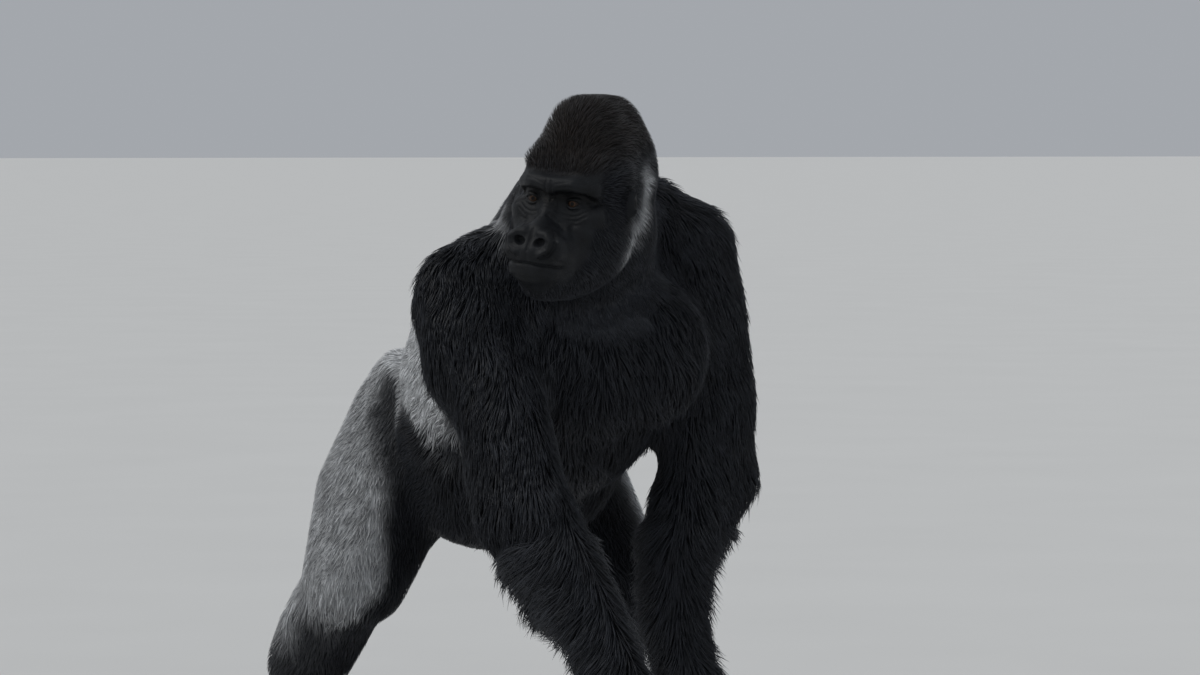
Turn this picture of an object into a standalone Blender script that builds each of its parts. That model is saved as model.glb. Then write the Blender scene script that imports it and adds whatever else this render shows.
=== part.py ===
"""A silverback gorilla in mid stride on its knuckles, its head turned to its own right.

Metres, +Z up. The animal faces -Y, its left side is +X, and it stands on the plane z = 0.
Every form is measured out to the tips of the coat. The body is laid up as overlapping closed
forms, fused by a voxel remesh, and parted into its named pieces by thin disc cuts.
"""

import math

import bmesh
import bpy
from mathutils import Euler, Matrix, Vector

# ---------------------------------------------------------------- driving dimensions
CUT = 0.0004  # width of the cuts that part the pieces
MASS_VOXEL = 0.010  # remesh size of the large forms
FINE_VOXEL = 0.0045  # remesh size once head, hands and feet are added
MASS_SMOOTHING = 16
FINE_SMOOTHING = 4
BODY_TRIANGLES = 3150  # of the fused body, before it is parted
EVEN_SHARE = 2.1  # times that many are left by the first, even thinning

EYE_RADIUS = 0.0150
EYE_ACROSS = 0.0395  # from the head's middle to each pupil
EYE_DEPTH = 0.0020  # eyeball centre behind the head's origin
EYE_CLEARANCE = 0.0004

# The forms that part the pieces: half sizes of ellipsoids and capsules, and planes.
ARM_FORM = (0.140, 0.150, 0.060)
THIGH_FORM = (0.158, 0.160, 0.060)
EAR_FORM = (0.020, 0.032, 0.040)
NECK_FORM, NECK_CENTRE = (0.150, 0.170, 0.190), Vector((-0.015, -0.290, 0.975))
HEAD_CUT, HEAD_CUT_NORMAL = Vector((-0.030, -0.335, 0.990)), Vector((-0.25, -0.78, 0.56))
WAIST = 0.02  # where the trunk is parted into chest and abdomen

RIGHT, LEFT = -1, 1
SIDES = {"right": RIGHT, "left": LEFT}

FOOTPRINT_MIDDLE = Vector((-0.0157, -0.1235, 0.0))  # middle of the model, in the frame of the pose

# ---------------------------------------------------------------- the pose
SHOULDER = {RIGHT: Vector((-0.225, -0.270, 0.865)), LEFT: Vector((0.226, -0.215, 0.966))}
ELBOW = {RIGHT: Vector((-0.184, -0.495, 0.520)), LEFT: Vector((0.268, -0.185, 0.535))}
WRIST = {RIGHT: Vector((-0.070, -0.648, 0.205)), LEFT: Vector((0.209, -0.275, 0.185))}
KNUCKLE = {RIGHT: Vector((-0.046, -0.695, 0.0)), LEFT: Vector((0.203, -0.308, 0.0))}
HAND_TURN = {RIGHT: math.radians(6), LEFT: math.radians(-4)}

# How far hair and flesh stand off from the line of the bones, and the limbs' radii downward.
UPPER_ARM_HAIR = {RIGHT: Vector((0, 0, 0)), LEFT: Vector((0.040, 0, -0.010))}
FOREARM_BEND = {RIGHT: Vector((0, 0, 0)), LEFT: Vector((-0.034, 0, 0))}
FOREARM_RADII = {RIGHT: (0.076, 0.078, 0.066, 0.058), LEFT: (0.080, 0.078, 0.068, 0.063)}
ELBOW_TUFT = {RIGHT: Vector((-0.034, 0.034, -0.030)), LEFT: Vector((0.0744, 0.020, -0.004))}
FOREARM_FRINGE = {RIGHT: Vector((-0.022, 0.030, -0.040)), LEFT: Vector((-0.006, 0.030, -0.020))}

HIP = {RIGHT: Vector((-0.134, 0.300, 0.625)), LEFT: Vector((0.122, 0.290, 0.625))}
KNEE = {RIGHT: Vector((-0.276, 0.198, 0.340)), LEFT: Vector((0.225, 0.110, 0.335))}
THIGH_RADII = {RIGHT: (0.116, 0.133, 0.106), LEFT: (0.108, 0.116, 0.096)}
ANKLE = {RIGHT: Vector((-0.315, 0.415, 0.090)), LEFT: Vector((0.235, 0.190, 0.090))}
FOOT_TURN = {RIGHT: math.radians(-24), LEFT: math.radians(12)}

EYES = Vector((-0.1443, -0.5071, 1.063))  # midpoint between the eyes
HEAD_TURN = Euler((math.radians(4), math.radians(7), math.radians(-49)), "XYZ")
HEAD = Matrix.LocRotScale(EYES, HEAD_TURN, None)

# ---------------------------------------------------------------- colours
FINISHES = (
    ("black_coat", (0.020, 0.020, 0.023, 1.0), 0.70),
    ("silver_coat", (0.300, 0.300, 0.290, 1.0), 0.70),
    ("brown_coat", (0.040, 0.027, 0.022, 1.0), 0.70),
    ("bare_skin", (0.030, 0.031, 0.036, 1.0), 0.50),
    ("toenail_horn", (0.060, 0.050, 0.045, 1.0), 0.35),
    ("eye_brown", (0.100, 0.040, 0.015, 1.0), 0.15),
)


def material(name, colour, roughness):
    """A Principled material of one plain finish."""
    made = bpy.data.materials.new(name)
    made.use_nodes = True
    shader = made.node_tree.nodes["Principled BSDF"]
    shader.inputs["Base Color"].default_value = colour
    shader.inputs["Roughness"].default_value = roughness
    shader.inputs["Metallic"].default_value = 0.0
    return made


# ---------------------------------------------------------------- clay: overlapping closed forms
class Clay:
    """Overlapping closed forms laid up for one remesh."""

    def __init__(self):
        self.sphere = self.primitive(bmesh.ops.create_uvsphere, u_segments=28, v_segments=16, radius=1.0)
        self.forms = bmesh.new()

    @staticmethod
    def primitive(operator, **sizes):
        """A mesh made by one bmesh primitive operator."""
        shape = bmesh.new()
        operator(shape, **sizes)
        mesh = bpy.data.meshes.new("form")
        shape.to_mesh(mesh)
        shape.free()
        return mesh

    def add(self, mesh, place):
        """A copy of the mesh, placed."""
        copy = mesh.copy()
        copy.transform(place)
        self.forms.from_mesh(copy)
        bpy.data.meshes.remove(copy)

    def ball(self, centre, radii, frame=None, turn=(0.0, 0.0, 0.0)):
        """An ellipsoid, its radii along the frame's axes turned by degrees."""
        euler = Euler([math.radians(angle) for angle in turn], "XYZ")
        local = Matrix.LocRotScale(Vector(centre), euler, Vector(radii))
        self.add(self.sphere, frame @ local if frame else local)

    def chain(self, points, radii, frame=None):
        """Balls at the points joined by tapered bars, as for a limb or a finger."""
        points = [frame @ Vector(p) if frame else Vector(p) for p in points]
        for point, radius in zip(points, radii):
            self.ball(point, (radius, radius, radius))
        for start, end, thick, thin in zip(points, points[1:], radii, radii[1:]):
            along = end - start
            bar = self.primitive(
                bmesh.ops.create_cone,
                segments=24, cap_ends=True, radius1=thick, radius2=thin, depth=along.length,
            )
            turn = along.to_track_quat("Z", "Y").to_matrix().to_4x4()
            self.add(bar, Matrix.Translation((start + end) / 2) @ turn)

    def muscle(self, start, end, width, depth, front=(0, -1, 0)):
        """An ellipsoid from start to end; depth is measured towards the front."""
        start, end = Vector(start), Vector(end)
        along = (end - start).normalized()
        across = along.cross(Vector(front)).normalized()
        turn = Matrix((across, along.cross(across), along)).transposed().to_4x4()
        frame = Matrix.Translation((start + end) / 2) @ turn
        self.ball((0, 0, 0), (width, depth, (end - start).length / 2), frame)

    def fused(self, name, voxel, smoothing, collection):
        """One closed skin round all the forms."""
        mesh = bpy.data.meshes.new(name)
        self.forms.to_mesh(mesh)
        self.forms.free()
        holder = new_object(name, mesh, collection)
        remesh = holder.modifiers.new("fuse", "REMESH")
        remesh.mode = "VOXEL"
        remesh.voxel_size = voxel
        smooth = holder.modifiers.new("soften", "SMOOTH")
        smooth.factor = 0.5
        smooth.iterations = smoothing
        return evaluated_mesh(holder, name)


def between(start, end, share):
    """The point at that share of the way from start to end."""
    return Vector(start).lerp(Vector(end), share)


def upright_frame(point, turn):
    """A frame on the floor below the point, turned about the vertical."""
    return Matrix.LocRotScale(Vector((point.x, point.y, 0.0)), Euler((0, 0, turn)), None)


# ---------------------------------------------------------------- the large masses
def trunk_masses(clay):
    """Ribcage, belly, pelvis, rump, shoulder girdle and the thick neck."""
    clay.ball((0, -0.105, 0.735), (0.225, 0.260, 0.240), turn=(-20, 0, 0))  # ribcage
    clay.ball((0, 0.085, 0.622), (0.220, 0.250, 0.238))  # belly
    clay.ball((-0.030, 0.090, 0.475), (0.150, 0.150, 0.088))  # hair of the belly
    clay.ball((0, 0.275, 0.632), (0.168, 0.180, 0.158))  # pelvis
    clay.ball((0, 0.385, 0.600), (0.085, 0.090, 0.120))  # between the haunches
    clay.ball((0, -0.325, 0.765), (0.125, 0.090, 0.150))  # breastbone
    clay.ball((0, -0.150, 0.900), (0.220, 0.190, 0.140))  # upper back
    clay.ball((0, 0.110, 0.755), (0.150, 0.260, 0.105), turn=(-16, 0, 0))  # loin
    for side in (RIGHT, LEFT):
        clay.ball((side * 0.080, 0.372, 0.610), (0.110, 0.108, 0.132))  # rump
        clay.ball((side * 0.128, 0.265, 0.682), (0.086, 0.125, 0.088))  # hip muscle
        clay.ball((side * 0.110, -0.310, 0.780), (0.125, 0.100, 0.140))  # chest muscle
        clay.ball((side * 0.165, -0.060, 0.755), (0.070, 0.200, 0.170))  # flank muscle
        clay.ball((side * 0.162, 0.070, 0.700), (0.066, 0.110, 0.135))  # flank
        blade = SHOULDER[side] + Vector((-side * 0.075, 0.040, 0.060))
        clay.ball(blade, (0.115, 0.140, 0.090), turn=(0, side * 20, 0))  # shoulder blade
    clay.chain([(0, -0.210, 0.920), (-0.035, -0.350, 1.010)], [0.165, 0.140])  # neck
    clay.chain([(0.020, -0.120, 0.975), (-0.005, -0.315, 1.095)], [0.138, 0.108])  # nape


def arm_masses(clay, side):
    """Shoulder, upper arm, forearm and the long hair behind elbow and forearm."""
    shoulder, elbow, wrist = SHOULDER[side], ELBOW[side], WRIST[side]
    clay.chain([shoulder, between(shoulder, elbow, 0.5), elbow], [0.104, 0.092, 0.070])
    cap = between(shoulder, elbow, 0.18) + Vector((side * 0.010, 0, 0))
    clay.muscle(cap + Vector((0, 0, 0.13)), cap - Vector((0, 0, 0.15)), 0.100, 0.105)  # deltoid
    hair = UPPER_ARM_HAIR[side]
    clay.muscle(between(shoulder, elbow, 0.2) + hair, between(shoulder, elbow, 1.05) + hair, 0.086, 0.090)
    bend = FOREARM_BEND[side]
    bones = [elbow, between(elbow, wrist, 0.3) + bend, between(elbow, wrist, 0.72) + bend, wrist]
    clay.chain(bones, FOREARM_RADII[side])
    tuft = elbow + ELBOW_TUFT[side]  # long hair behind the elbow and below the forearm
    fringe = between(elbow, wrist, 0.45) + FOREARM_FRINGE[side]
    clay.chain([between(shoulder, tuft, 0.72), tuft, fringe], [0.066, 0.064, 0.048])


def leg_masses(clay, side):
    """Thigh, shin and calf."""
    hip, knee, ankle = HIP[side], KNEE[side], ANKLE[side]
    clay.chain([hip, between(hip, knee, 0.5), knee], THIGH_RADII[side])
    back = Vector((side * 0.004, 0.028, 0))
    clay.chain(
        [knee, between(knee, ankle, 0.35) + back, between(knee, ankle, 0.75) + back * 0.4, ankle],
        [0.092, 0.090, 0.074, 0.056],
    )


# ---------------------------------------------------------------- head
def head_masses(clay):
    """Skull, crest, jaws and muzzle; the head's origin is between the eyes, -Y ahead."""
    clay.ball((0, 0.105, 0.040), (0.098, 0.112, 0.090), HEAD)  # braincase and its muscle
    clay.ball((0, 0.118, 0.088), (0.078, 0.108, 0.104), HEAD)  # crest and crown pad
    clay.ball((0, 0.155, 0.092), (0.085, 0.090, 0.098), HEAD)  # back of the crest
    clay.ball((0, 0.200, 0.035), (0.094, 0.085, 0.115), HEAD)  # nape muscle
    clay.ball((0, 0.045, -0.128), (0.078, 0.085, 0.055), HEAD)  # throat
    clay.ball((0, -0.026, -0.078), (0.060, 0.060, 0.044), HEAD)  # upper muzzle
    clay.ball((0, -0.012, -0.138), (0.056, 0.058, 0.044), HEAD)  # chin
    clay.ball((0, 0.014, -0.030), (0.072, 0.036, 0.060), HEAD)  # mid face
    for side in (RIGHT, LEFT):
        clay.ball((side * 0.066, 0.072, -0.068), (0.047, 0.067, 0.079), HEAD)  # jaw muscle
        clay.ball((side * 0.068, 0.022, -0.024), (0.034, 0.038, 0.026), HEAD)  # cheekbone
        clay.ball((side * 0.046, 0.034, 0.056), (0.036, 0.046, 0.036), HEAD)  # temple


def head_features(clay):
    """Brow, nose, lips and lids, which keep crisper forms than the masses."""
    brow = [(0.070, 0.014, 0.023), (0.040, -0.012, 0.031), (0.0, -0.018, 0.030)]
    brow += [(-x, y, z) for x, y, z in reversed(brow[:2])]
    clay.chain(brow, [0.0150, 0.0180, 0.0170, 0.0180, 0.0150], HEAD)
    clay.chain([(0, -0.006, 0.012), (0, -0.034, -0.030), (0, -0.062, -0.050)], [0.018, 0.015, 0.017], HEAD)
    for side in (RIGHT, LEFT):
        clay.ball((side * 0.027, -0.065, -0.062), (0.023, 0.018, 0.020), HEAD, (0, side * 25, 0))  # nostril
        clay.ball((side * 0.040, 0.000, -0.022), (0.026, 0.014, 0.012), HEAD)  # lower lid
    clay.ball((0, -0.062, -0.086), (0.052, 0.030, 0.026), HEAD)  # upper lip
    clay.ball((0, -0.054, -0.126), (0.046, 0.032, 0.024), HEAD)  # lower lip


def ear(clay, side):
    """A small ear, level with the eye and turned out from the head."""
    turn = Euler((math.radians(-8), 0, side * math.radians(28)))
    frame = HEAD @ Matrix.LocRotScale(Vector((side * 0.110, 0.096, 0.000)), turn, None)
    clay.ball((0, 0, 0), (0.009, 0.019, 0.029), frame)
    clay.ball((-side * 0.012, -0.006, -0.002), (0.014, 0.012, 0.016), frame)


# ---------------------------------------------------------------- hands and feet
FINGERS = ((-0.042, 0.94), (-0.014, 1.0), (0.014, 0.98), (0.041, 0.86))  # offset across, length


def hand_features(clay, side):
    """A fist on the floor: fingers folded so that the backs of their middle bones bear."""
    frame = upright_frame(KNUCKLE[side], HAND_TURN[side])
    wrist = frame.inverted() @ WRIST[side]
    palm = between(wrist, (0, 0.024, 0.085), 0.35)
    clay.chain([wrist, palm], [0.052, 0.048], frame)
    for offset, length in FINGERS:
        start = between(palm, (offset, 0.024, 0.085), 0.3) + Vector((offset * 0.5, 0, 0))
        clay.chain(
            [
                start,
                (offset * 0.98, 0.024, 0.086),
                (offset * 1.08, -0.034 * length, 0.036),
                (offset * 1.06, 0.006, 0.0125),
                (offset, 0.032, 0.022),
            ],
            [0.026, 0.0205, 0.0185, 0.0160, 0.0130],
            frame,
        )
    thumb = -side  # the thumb is on the inner side
    thumb_root = palm + Vector((thumb * 0.022, 0.010, -0.010))
    thumb_joints = [thumb_root, (thumb * 0.054, 0.036, 0.082), (thumb * 0.056, 0.036, 0.052)]
    clay.chain(thumb_joints, [0.023, 0.0165, 0.0130], frame)


TOES = ((0.022, 0.152, 0.0165), (-0.006, 0.162, 0.0152), (-0.031, 0.150, 0.0142), (-0.052, 0.128, 0.0132))
GREAT_TOE_TIP = (0.077, 0.108, 0.0185)


def foot_features(clay, side):
    """A flat foot: heel, sole, four toes ahead and the great toe set apart."""
    frame = upright_frame(ANKLE[side], FOOT_TURN[side])
    inner = -side
    clay.ball((0, 0.036, 0.036), (0.044, 0.056, 0.042), frame)  # heel
    instep = [(0, 0, 0.085), (0, -0.060, 0.050), (-inner * 0.012, -0.115, 0.030)]
    clay.chain(instep, [0.056, 0.046, 0.030], frame)
    clay.ball((-inner * 0.010, -0.075, 0.022), (0.054, 0.095, 0.027), frame)  # sole
    for across, reach, radius in TOES:
        clay.chain(
            [
                (inner * across, -0.090, 0.028),
                (inner * across * 1.1, -reach * 0.84, 0.028),
                (inner * across * 1.12, -reach, 0.0145),
            ],
            [radius * 1.2, radius * 1.05, radius * 0.95],
            frame,
        )
    clay.chain(
        [(inner * 0.022, -0.030, 0.034), (inner * 0.060, -0.074, 0.026), (inner * 0.077, -0.108, 0.0165)],
        [0.028, 0.022, 0.0185],
        frame,
    )


# ---------------------------------------------------------------- fusing and thinning
def new_object(name, mesh, collection):
    """An object of that mesh, linked to the collection."""
    made = bpy.data.objects.new(name, mesh)
    collection.objects.link(made)
    return made


def evaluated_mesh(holder, name):
    """The holder's mesh with its modifiers applied; the holder is removed."""
    graph = bpy.context.evaluated_depsgraph_get()
    mesh = bpy.data.meshes.new_from_object(holder.evaluated_get(graph))
    mesh.name = name
    bpy.data.objects.remove(holder)
    return mesh


def fused_body(collection):
    """The whole animal as one closed mesh."""
    masses = Clay()
    trunk_masses(masses)
    head_masses(masses)
    for side in (RIGHT, LEFT):
        arm_masses(masses, side)
        leg_masses(masses, side)
    softened = masses.fused("masses", MASS_VOXEL, MASS_SMOOTHING, collection)
    whole = Clay()
    whole.forms.from_mesh(softened)
    head_features(whole)
    for side in (RIGHT, LEFT):
        hand_features(whole, side)
        foot_features(whole, side)
        ear(whole, side)
    return whole.fused("body", FINE_VOXEL, FINE_SMOOTHING, collection)


def in_fine_region(point):
    """True where head, hands and feet keep more triangles."""
    local = HEAD.inverted() @ point
    return point.z < 0.12 or (local.y < 0.05 and local.length < 0.19)


def thinned(mesh, collection):
    """The mesh with fewer triangles, keeping more of them on face, hands and feet."""
    holder = new_object("thinned", mesh, collection)
    even = holder.modifiers.new("even", "DECIMATE")
    even.ratio = EVEN_SHARE * BODY_TRIANGLES / (2 * len(mesh.polygons))
    mesh = evaluated_mesh(holder, "thinned")
    holder = new_object("thinned", mesh, collection)
    plain = holder.vertex_groups.new(name="plain")
    plain.add([v.index for v in mesh.vertices if not in_fine_region(v.co)], 1.0, "REPLACE")
    thin = holder.modifiers.new("thin", "DECIMATE")
    thin.ratio = BODY_TRIANGLES / len(mesh.polygons)
    thin.vertex_group = plain.name
    thin.vertex_group_factor = 0.5
    return evaluated_mesh(holder, "body")


# ---------------------------------------------------------------- parting
class Knife:
    """Parts what lies inside a solid from a piece; the solid is an ellipsoid or a half space."""

    facets = (16, 8)

    def __init__(self, name, of, rest=None, radii=None, frame=None, stretch=0.0, point=None, normal=None):
        """Takes the part called name off the piece called of; rest names a part left loose."""
        self.name, self.of, self.rest = name, of, rest
        self.radii, self.frame, self.stretch = radii, frame, stretch
        self.point, self.normal = point, normal

    def solid(self, growth, cutters):
        """The cutting solid, larger by that growth."""
        shape = bmesh.new()
        if self.radii:
            around, upright = self.facets
            bmesh.ops.create_uvsphere(shape, u_segments=around, v_segments=upright, radius=1.0)
            grown = [radius + growth for radius in self.radii]
            for vert in shape.verts:
                drawn = 0.0 if abs(vert.co.z) < 1e-5 else math.copysign(self.stretch, vert.co.z)
                vert.co = Vector((vert.co.x * grown[0], vert.co.y * grown[1], vert.co.z * grown[2] + drawn))
            shape.transform(self.frame)
        else:
            turn = Vector(self.normal).to_track_quat("Z", "Y").to_matrix().to_4x4()
            place = Matrix.Translation(self.point) @ turn @ Matrix.Translation((0, 0, 2.0 - growth))
            bmesh.ops.create_cube(shape, size=4.0, matrix=place)
        mesh = bpy.data.meshes.new(self.name + "_cutter")
        shape.to_mesh(mesh)
        shape.free()
        cutter = new_object(mesh.name, mesh, cutters)
        cutter.hide_render = True
        cutter.display_type = "WIRE"
        return cutter


class NailKnife(Knife):
    """A knife with few facets, for a toenail."""

    facets = (8, 4)


def limb_knife(name, rest, start, end, radii):
    """A knife shaped as a capsule round a limb; rest is the limb below it."""
    turn = (end - start).to_track_quat("Z", "Y")
    frame = Matrix.LocRotScale((start + end) / 2, turn, None)
    return Knife(name, "abdomen", rest, radii, frame, stretch=(end - start).length / 2)


def combined(mesh, cutter, operation, collection):
    """The mesh cut by, or kept within, the cutter."""
    holder = new_object("cutting", mesh.copy(), collection)
    boolean = holder.modifiers.new("cut", "BOOLEAN")
    boolean.operation = operation
    boolean.solver = "EXACT"
    boolean.object = cutter
    return evaluated_mesh(holder, "piece")


def loose_parts(mesh):
    """One mesh for each separate shell of the mesh, the largest first."""
    whole = bmesh.new()
    whole.from_mesh(mesh)
    unseen = set(whole.verts)
    shells = []
    while unseen:
        stack = [unseen.pop()]
        shell = set(stack)
        while stack:
            near = {vert for edge in stack.pop().link_edges for vert in edge.verts} - shell
            shell |= near
            stack.extend(near)
        unseen -= shell
        shells.append({vert.index for vert in shell})
    whole.free()
    return [part_of(mesh, shell) for shell in sorted(shells, key=len, reverse=True)]


def part_of(mesh, indices):
    """The mesh with only the vertices of those indices."""
    part = bmesh.new()
    part.from_mesh(mesh)
    bmesh.ops.delete(part, geom=[vert for vert in part.verts if vert.index not in indices], context="VERTS")
    kept = bpy.data.meshes.new("piece")
    part.to_mesh(kept)
    part.free()
    return kept


def part_piece(pieces, knife, gorilla, cutters):
    """Parts one of the named pieces with the knife."""
    whole = pieces[knife.of]
    inside = loose_parts(combined(whole, knife.solid(0.0, cutters), "INTERSECT", gorilla))
    outside = loose_parts(combined(whole, knife.solid(CUT, cutters), "DIFFERENCE", gorilla))
    if len(inside) != 1 or len(outside) != (2 if knife.rest else 1):
        raise ValueError(f"{knife.name}: {len(inside)} parts inside, {len(outside)} outside")
    pieces[knife.name], pieces[knife.of] = inside[0], outside[0]
    if knife.rest:
        pieces[knife.rest] = outside[1]


def knives():
    """Every cut, in the order made."""
    cuts = []
    for label, side in SIDES.items():
        shoulder, elbow, wrist = SHOULDER[side], ELBOW[side], WRIST[side]
        hip, knee, ankle = HIP[side], KNEE[side], ANKLE[side]
        outward = Vector((side * 0.020, 0, 0))
        forearm, shin = f"{label}_forearm", f"{label}_shin"
        top = shoulder + outward + Vector((0, 0, 0.07))
        cuts.append(limb_knife(f"{label}_upper_arm", forearm, top, elbow + outward, ARM_FORM))
        palm = KNUCKLE[side] + Vector((0, 0, 0.06)) - wrist
        cuts.append(Knife(f"{label}_hand", forearm, point=wrist, normal=palm))
        cuts.append(limb_knife(f"{label}_thigh", shin, hip + outward, knee + outward * 0.5, THIGH_FORM))
        above = ankle + Vector((0, 0, 0.012))
        cuts.append(Knife(f"{label}_foot", shin, point=above, normal=(0, 0, -1)))
    cuts.append(Knife("head", "abdomen", point=HEAD_CUT, normal=HEAD_CUT_NORMAL))
    for label, side in SIDES.items():
        frame = HEAD @ Matrix.Translation((side * 0.118, 0.098, 0.0))
        cuts.append(Knife(f"{label}_ear", "head", radii=EAR_FORM, frame=frame))
    cuts.append(Knife("neck", "abdomen", radii=NECK_FORM, frame=Matrix.Translation(NECK_CENTRE)))
    cuts.append(Knife("chest", "abdomen", point=Vector((0, WAIST, 0)), normal=(0, -1, 0)))
    return cuts


def nail_knives():
    """The cuts that part each toenail from its toe."""
    cuts = []
    for label, side in SIDES.items():
        frame = upright_frame(ANKLE[side], FOOT_TURN[side])
        tips = [(across * 1.12, reach, radius) for across, reach, radius in TOES] + [GREAT_TOE_TIP]
        for number, (across, reach, radius) in enumerate(tips, 1):
            place = Matrix.Translation((-side * across, -reach - radius * 0.40, 0.0145 + radius * 0.62))
            form = (radius * 0.62, radius * 0.62, radius * 0.34)
            nail = f"{label}_toenail_{number}"
            cuts.append(NailKnife(nail, f"{label}_foot", radii=form, frame=frame @ place))
    return cuts


# ---------------------------------------------------------------- eyes
def eye_mesh(side, radius):
    """An eyeball at its place in the head."""
    centre = HEAD @ Vector((side * EYE_ACROSS, EYE_DEPTH, 0.0))
    shape = bmesh.new()
    bmesh.ops.create_uvsphere(
        shape, u_segments=16, v_segments=8, radius=radius, matrix=Matrix.Translation(centre)
    )
    mesh = bpy.data.meshes.new("eye")
    shape.to_mesh(mesh)
    shape.free()
    return mesh


def set_eyes(pieces, gorilla, cutters):
    """Hollows the head for the eyeballs and adds them."""
    for label, side in SIDES.items():
        socket = new_object(f"{label}_socket", eye_mesh(side, EYE_RADIUS + EYE_CLEARANCE), cutters)
        socket.hide_render = True
        socket.display_type = "WIRE"
        pieces["head"] = combined(pieces["head"], socket, "DIFFERENCE", gorilla)
        pieces[f"{label}_eye"] = eye_mesh(side, EYE_RADIUS)


def finish_of(name):
    """The name of the material that a piece wears."""
    if name in ("abdomen", "left_thigh", "right_thigh"):
        return "silver_coat"
    if name == "head":
        return "brown_coat"
    for ending in ("hand", "foot", "ear"):
        if name.endswith(ending):
            return "bare_skin"
    if name.endswith("eye"):
        return "eye_brown"
    return "toenail_horn" if "toenail" in name else "black_coat"


def main():
    """Builds the animal."""
    for old in list(bpy.data.objects):
        bpy.data.objects.remove(old)
    gorilla = bpy.data.collections.new("gorilla")
    cutters = bpy.data.collections.new("cutters")
    for collection in (gorilla, cutters):
        bpy.context.scene.collection.children.link(collection)
    floor = Knife("floor", "body", point=(0, 0, 0), normal=(0, 0, 1))
    body = thinned(fused_body(gorilla), gorilla)
    pieces = {"abdomen": combined(body, floor.solid(0.0, cutters), "INTERSECT", gorilla)}
    for knife in knives() + nail_knives():
        part_piece(pieces, knife, gorilla, cutters)
    set_eyes(pieces, gorilla, cutters)
    finishes = {name: material(name, colour, roughness) for name, colour, roughness in FINISHES}
    for name, mesh in pieces.items():
        mesh.name = name
        mesh.materials.clear()
        mesh.materials.append(finishes[finish_of(name)])
        mesh.shade_smooth()
        mesh.transform(Matrix.Translation(-FOOTPRINT_MIDDLE))
        new_object(name, mesh, gorilla)


main()
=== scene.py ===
"""A grown silverback gorilla on its knuckles: skin, eyes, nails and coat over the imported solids."""

import logging
import math
from collections.abc import Iterator
from contextlib import contextmanager
from dataclasses import dataclass, field
from enum import Enum

import bmesh
import bpy
import numpy as np
from mathutils import Euler, Matrix, Vector
from mathutils.bvhtree import BVHTree


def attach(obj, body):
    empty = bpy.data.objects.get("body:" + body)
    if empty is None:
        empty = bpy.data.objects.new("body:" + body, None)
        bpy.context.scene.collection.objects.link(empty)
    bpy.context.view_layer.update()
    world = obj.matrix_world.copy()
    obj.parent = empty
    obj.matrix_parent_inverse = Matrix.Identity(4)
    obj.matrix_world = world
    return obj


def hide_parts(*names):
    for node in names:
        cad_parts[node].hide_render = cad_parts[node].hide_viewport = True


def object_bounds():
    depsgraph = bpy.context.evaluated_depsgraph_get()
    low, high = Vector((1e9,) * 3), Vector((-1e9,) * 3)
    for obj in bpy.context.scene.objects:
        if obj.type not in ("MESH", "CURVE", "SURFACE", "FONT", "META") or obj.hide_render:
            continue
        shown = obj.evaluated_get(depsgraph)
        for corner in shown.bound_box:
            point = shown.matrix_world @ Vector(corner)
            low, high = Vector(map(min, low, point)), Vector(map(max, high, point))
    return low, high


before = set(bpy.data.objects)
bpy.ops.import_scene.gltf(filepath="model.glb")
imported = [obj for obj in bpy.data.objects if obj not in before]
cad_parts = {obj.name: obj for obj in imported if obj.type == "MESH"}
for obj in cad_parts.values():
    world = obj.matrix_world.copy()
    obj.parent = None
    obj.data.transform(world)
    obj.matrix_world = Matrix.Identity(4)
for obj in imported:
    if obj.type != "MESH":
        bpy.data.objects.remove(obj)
CAD_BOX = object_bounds()
BODY = "root"
MILLIMETRE = 0.001

Array = np.ndarray
Point = tuple[float, float, float]
Colour = tuple[float, float, float]
Path = tuple[tuple[float, float], ...]
Socket = bpy.types.NodeSocket

log = logging.getLogger("gorilla")


class Side(Enum):
    """The animal's own sides; the value is the sign of +X for that side."""

    LEFT = 1
    RIGHT = -1

    @property
    def label(self) -> str:
        """The word that node names use for this side."""
        return self.name.lower()


class Mark(Enum):
    """What each channel of the markings attribute holds."""

    SILVER = 0
    BROWN = 1
    ALONG = 2
    # random tone, times painted shade in folds, grooves, eye sockets and round the ears
    SHADE = 3


MARKINGS = "markings"
BARE = "bare"
OFF_GAZE = "off_gaze"


# ------------------------------------------------------------------ sums on arrays
def unit(vectors: Array) -> Array:
    """Vectors scaled to length one."""
    return vectors / np.maximum(np.linalg.norm(vectors, axis=-1, keepdims=True), 1e-9)


def ease(values: Array, low: float, high: float) -> Array:
    """A smooth step.

    Args:
        values: Where the step is read.
        low: Where it starts, at 0.
        high: Where it ends, at 1; it may lie below low.

    Returns:
        Numbers from 0 to 1.
    """
    part = np.clip((values - low) / (high - low), 0.0, 1.0)
    return part * part * (3.0 - 2.0 * part)


def hump(distance: Array, width: float) -> Array:
    """A soft hump of height one, gone at about twice its width."""
    return np.exp(-((distance / width) ** 2))


def along_surface(vectors: Array, normals: Array) -> Array:
    """Vectors laid into the surface that the normals belong to, at length one."""
    lifted = (vectors * normals).sum(-1, keepdims=True)
    return unit(vectors - lifted * normals)


def path_distance(points: Array, path: Path) -> Array:
    """How far flat points are from a path of straight lengths.

    Args:
        points: One row for each point, two numbers wide.
        path: The corners of the path.

    Returns:
        The distance of each point to the nearest length.
    """
    nearest = np.full(len(points), 1e9)
    for start, end in zip(path[:-1], path[1:]):
        origin, span = np.array(start), np.subtract(end, start)
        part = np.clip(((points - origin) @ span) / (span @ span), 0.0, 1.0)
        gap = points - origin - part[:, None] * span
        nearest = np.minimum(nearest, np.hypot(gap[:, 0], gap[:, 1]))
    return nearest


def shifted(points: Array, matrix: Matrix) -> Array:
    """Points taken through a matrix."""
    table = np.array(matrix)
    return points @ table[:3, :3].T + table[:3, 3]


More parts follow.
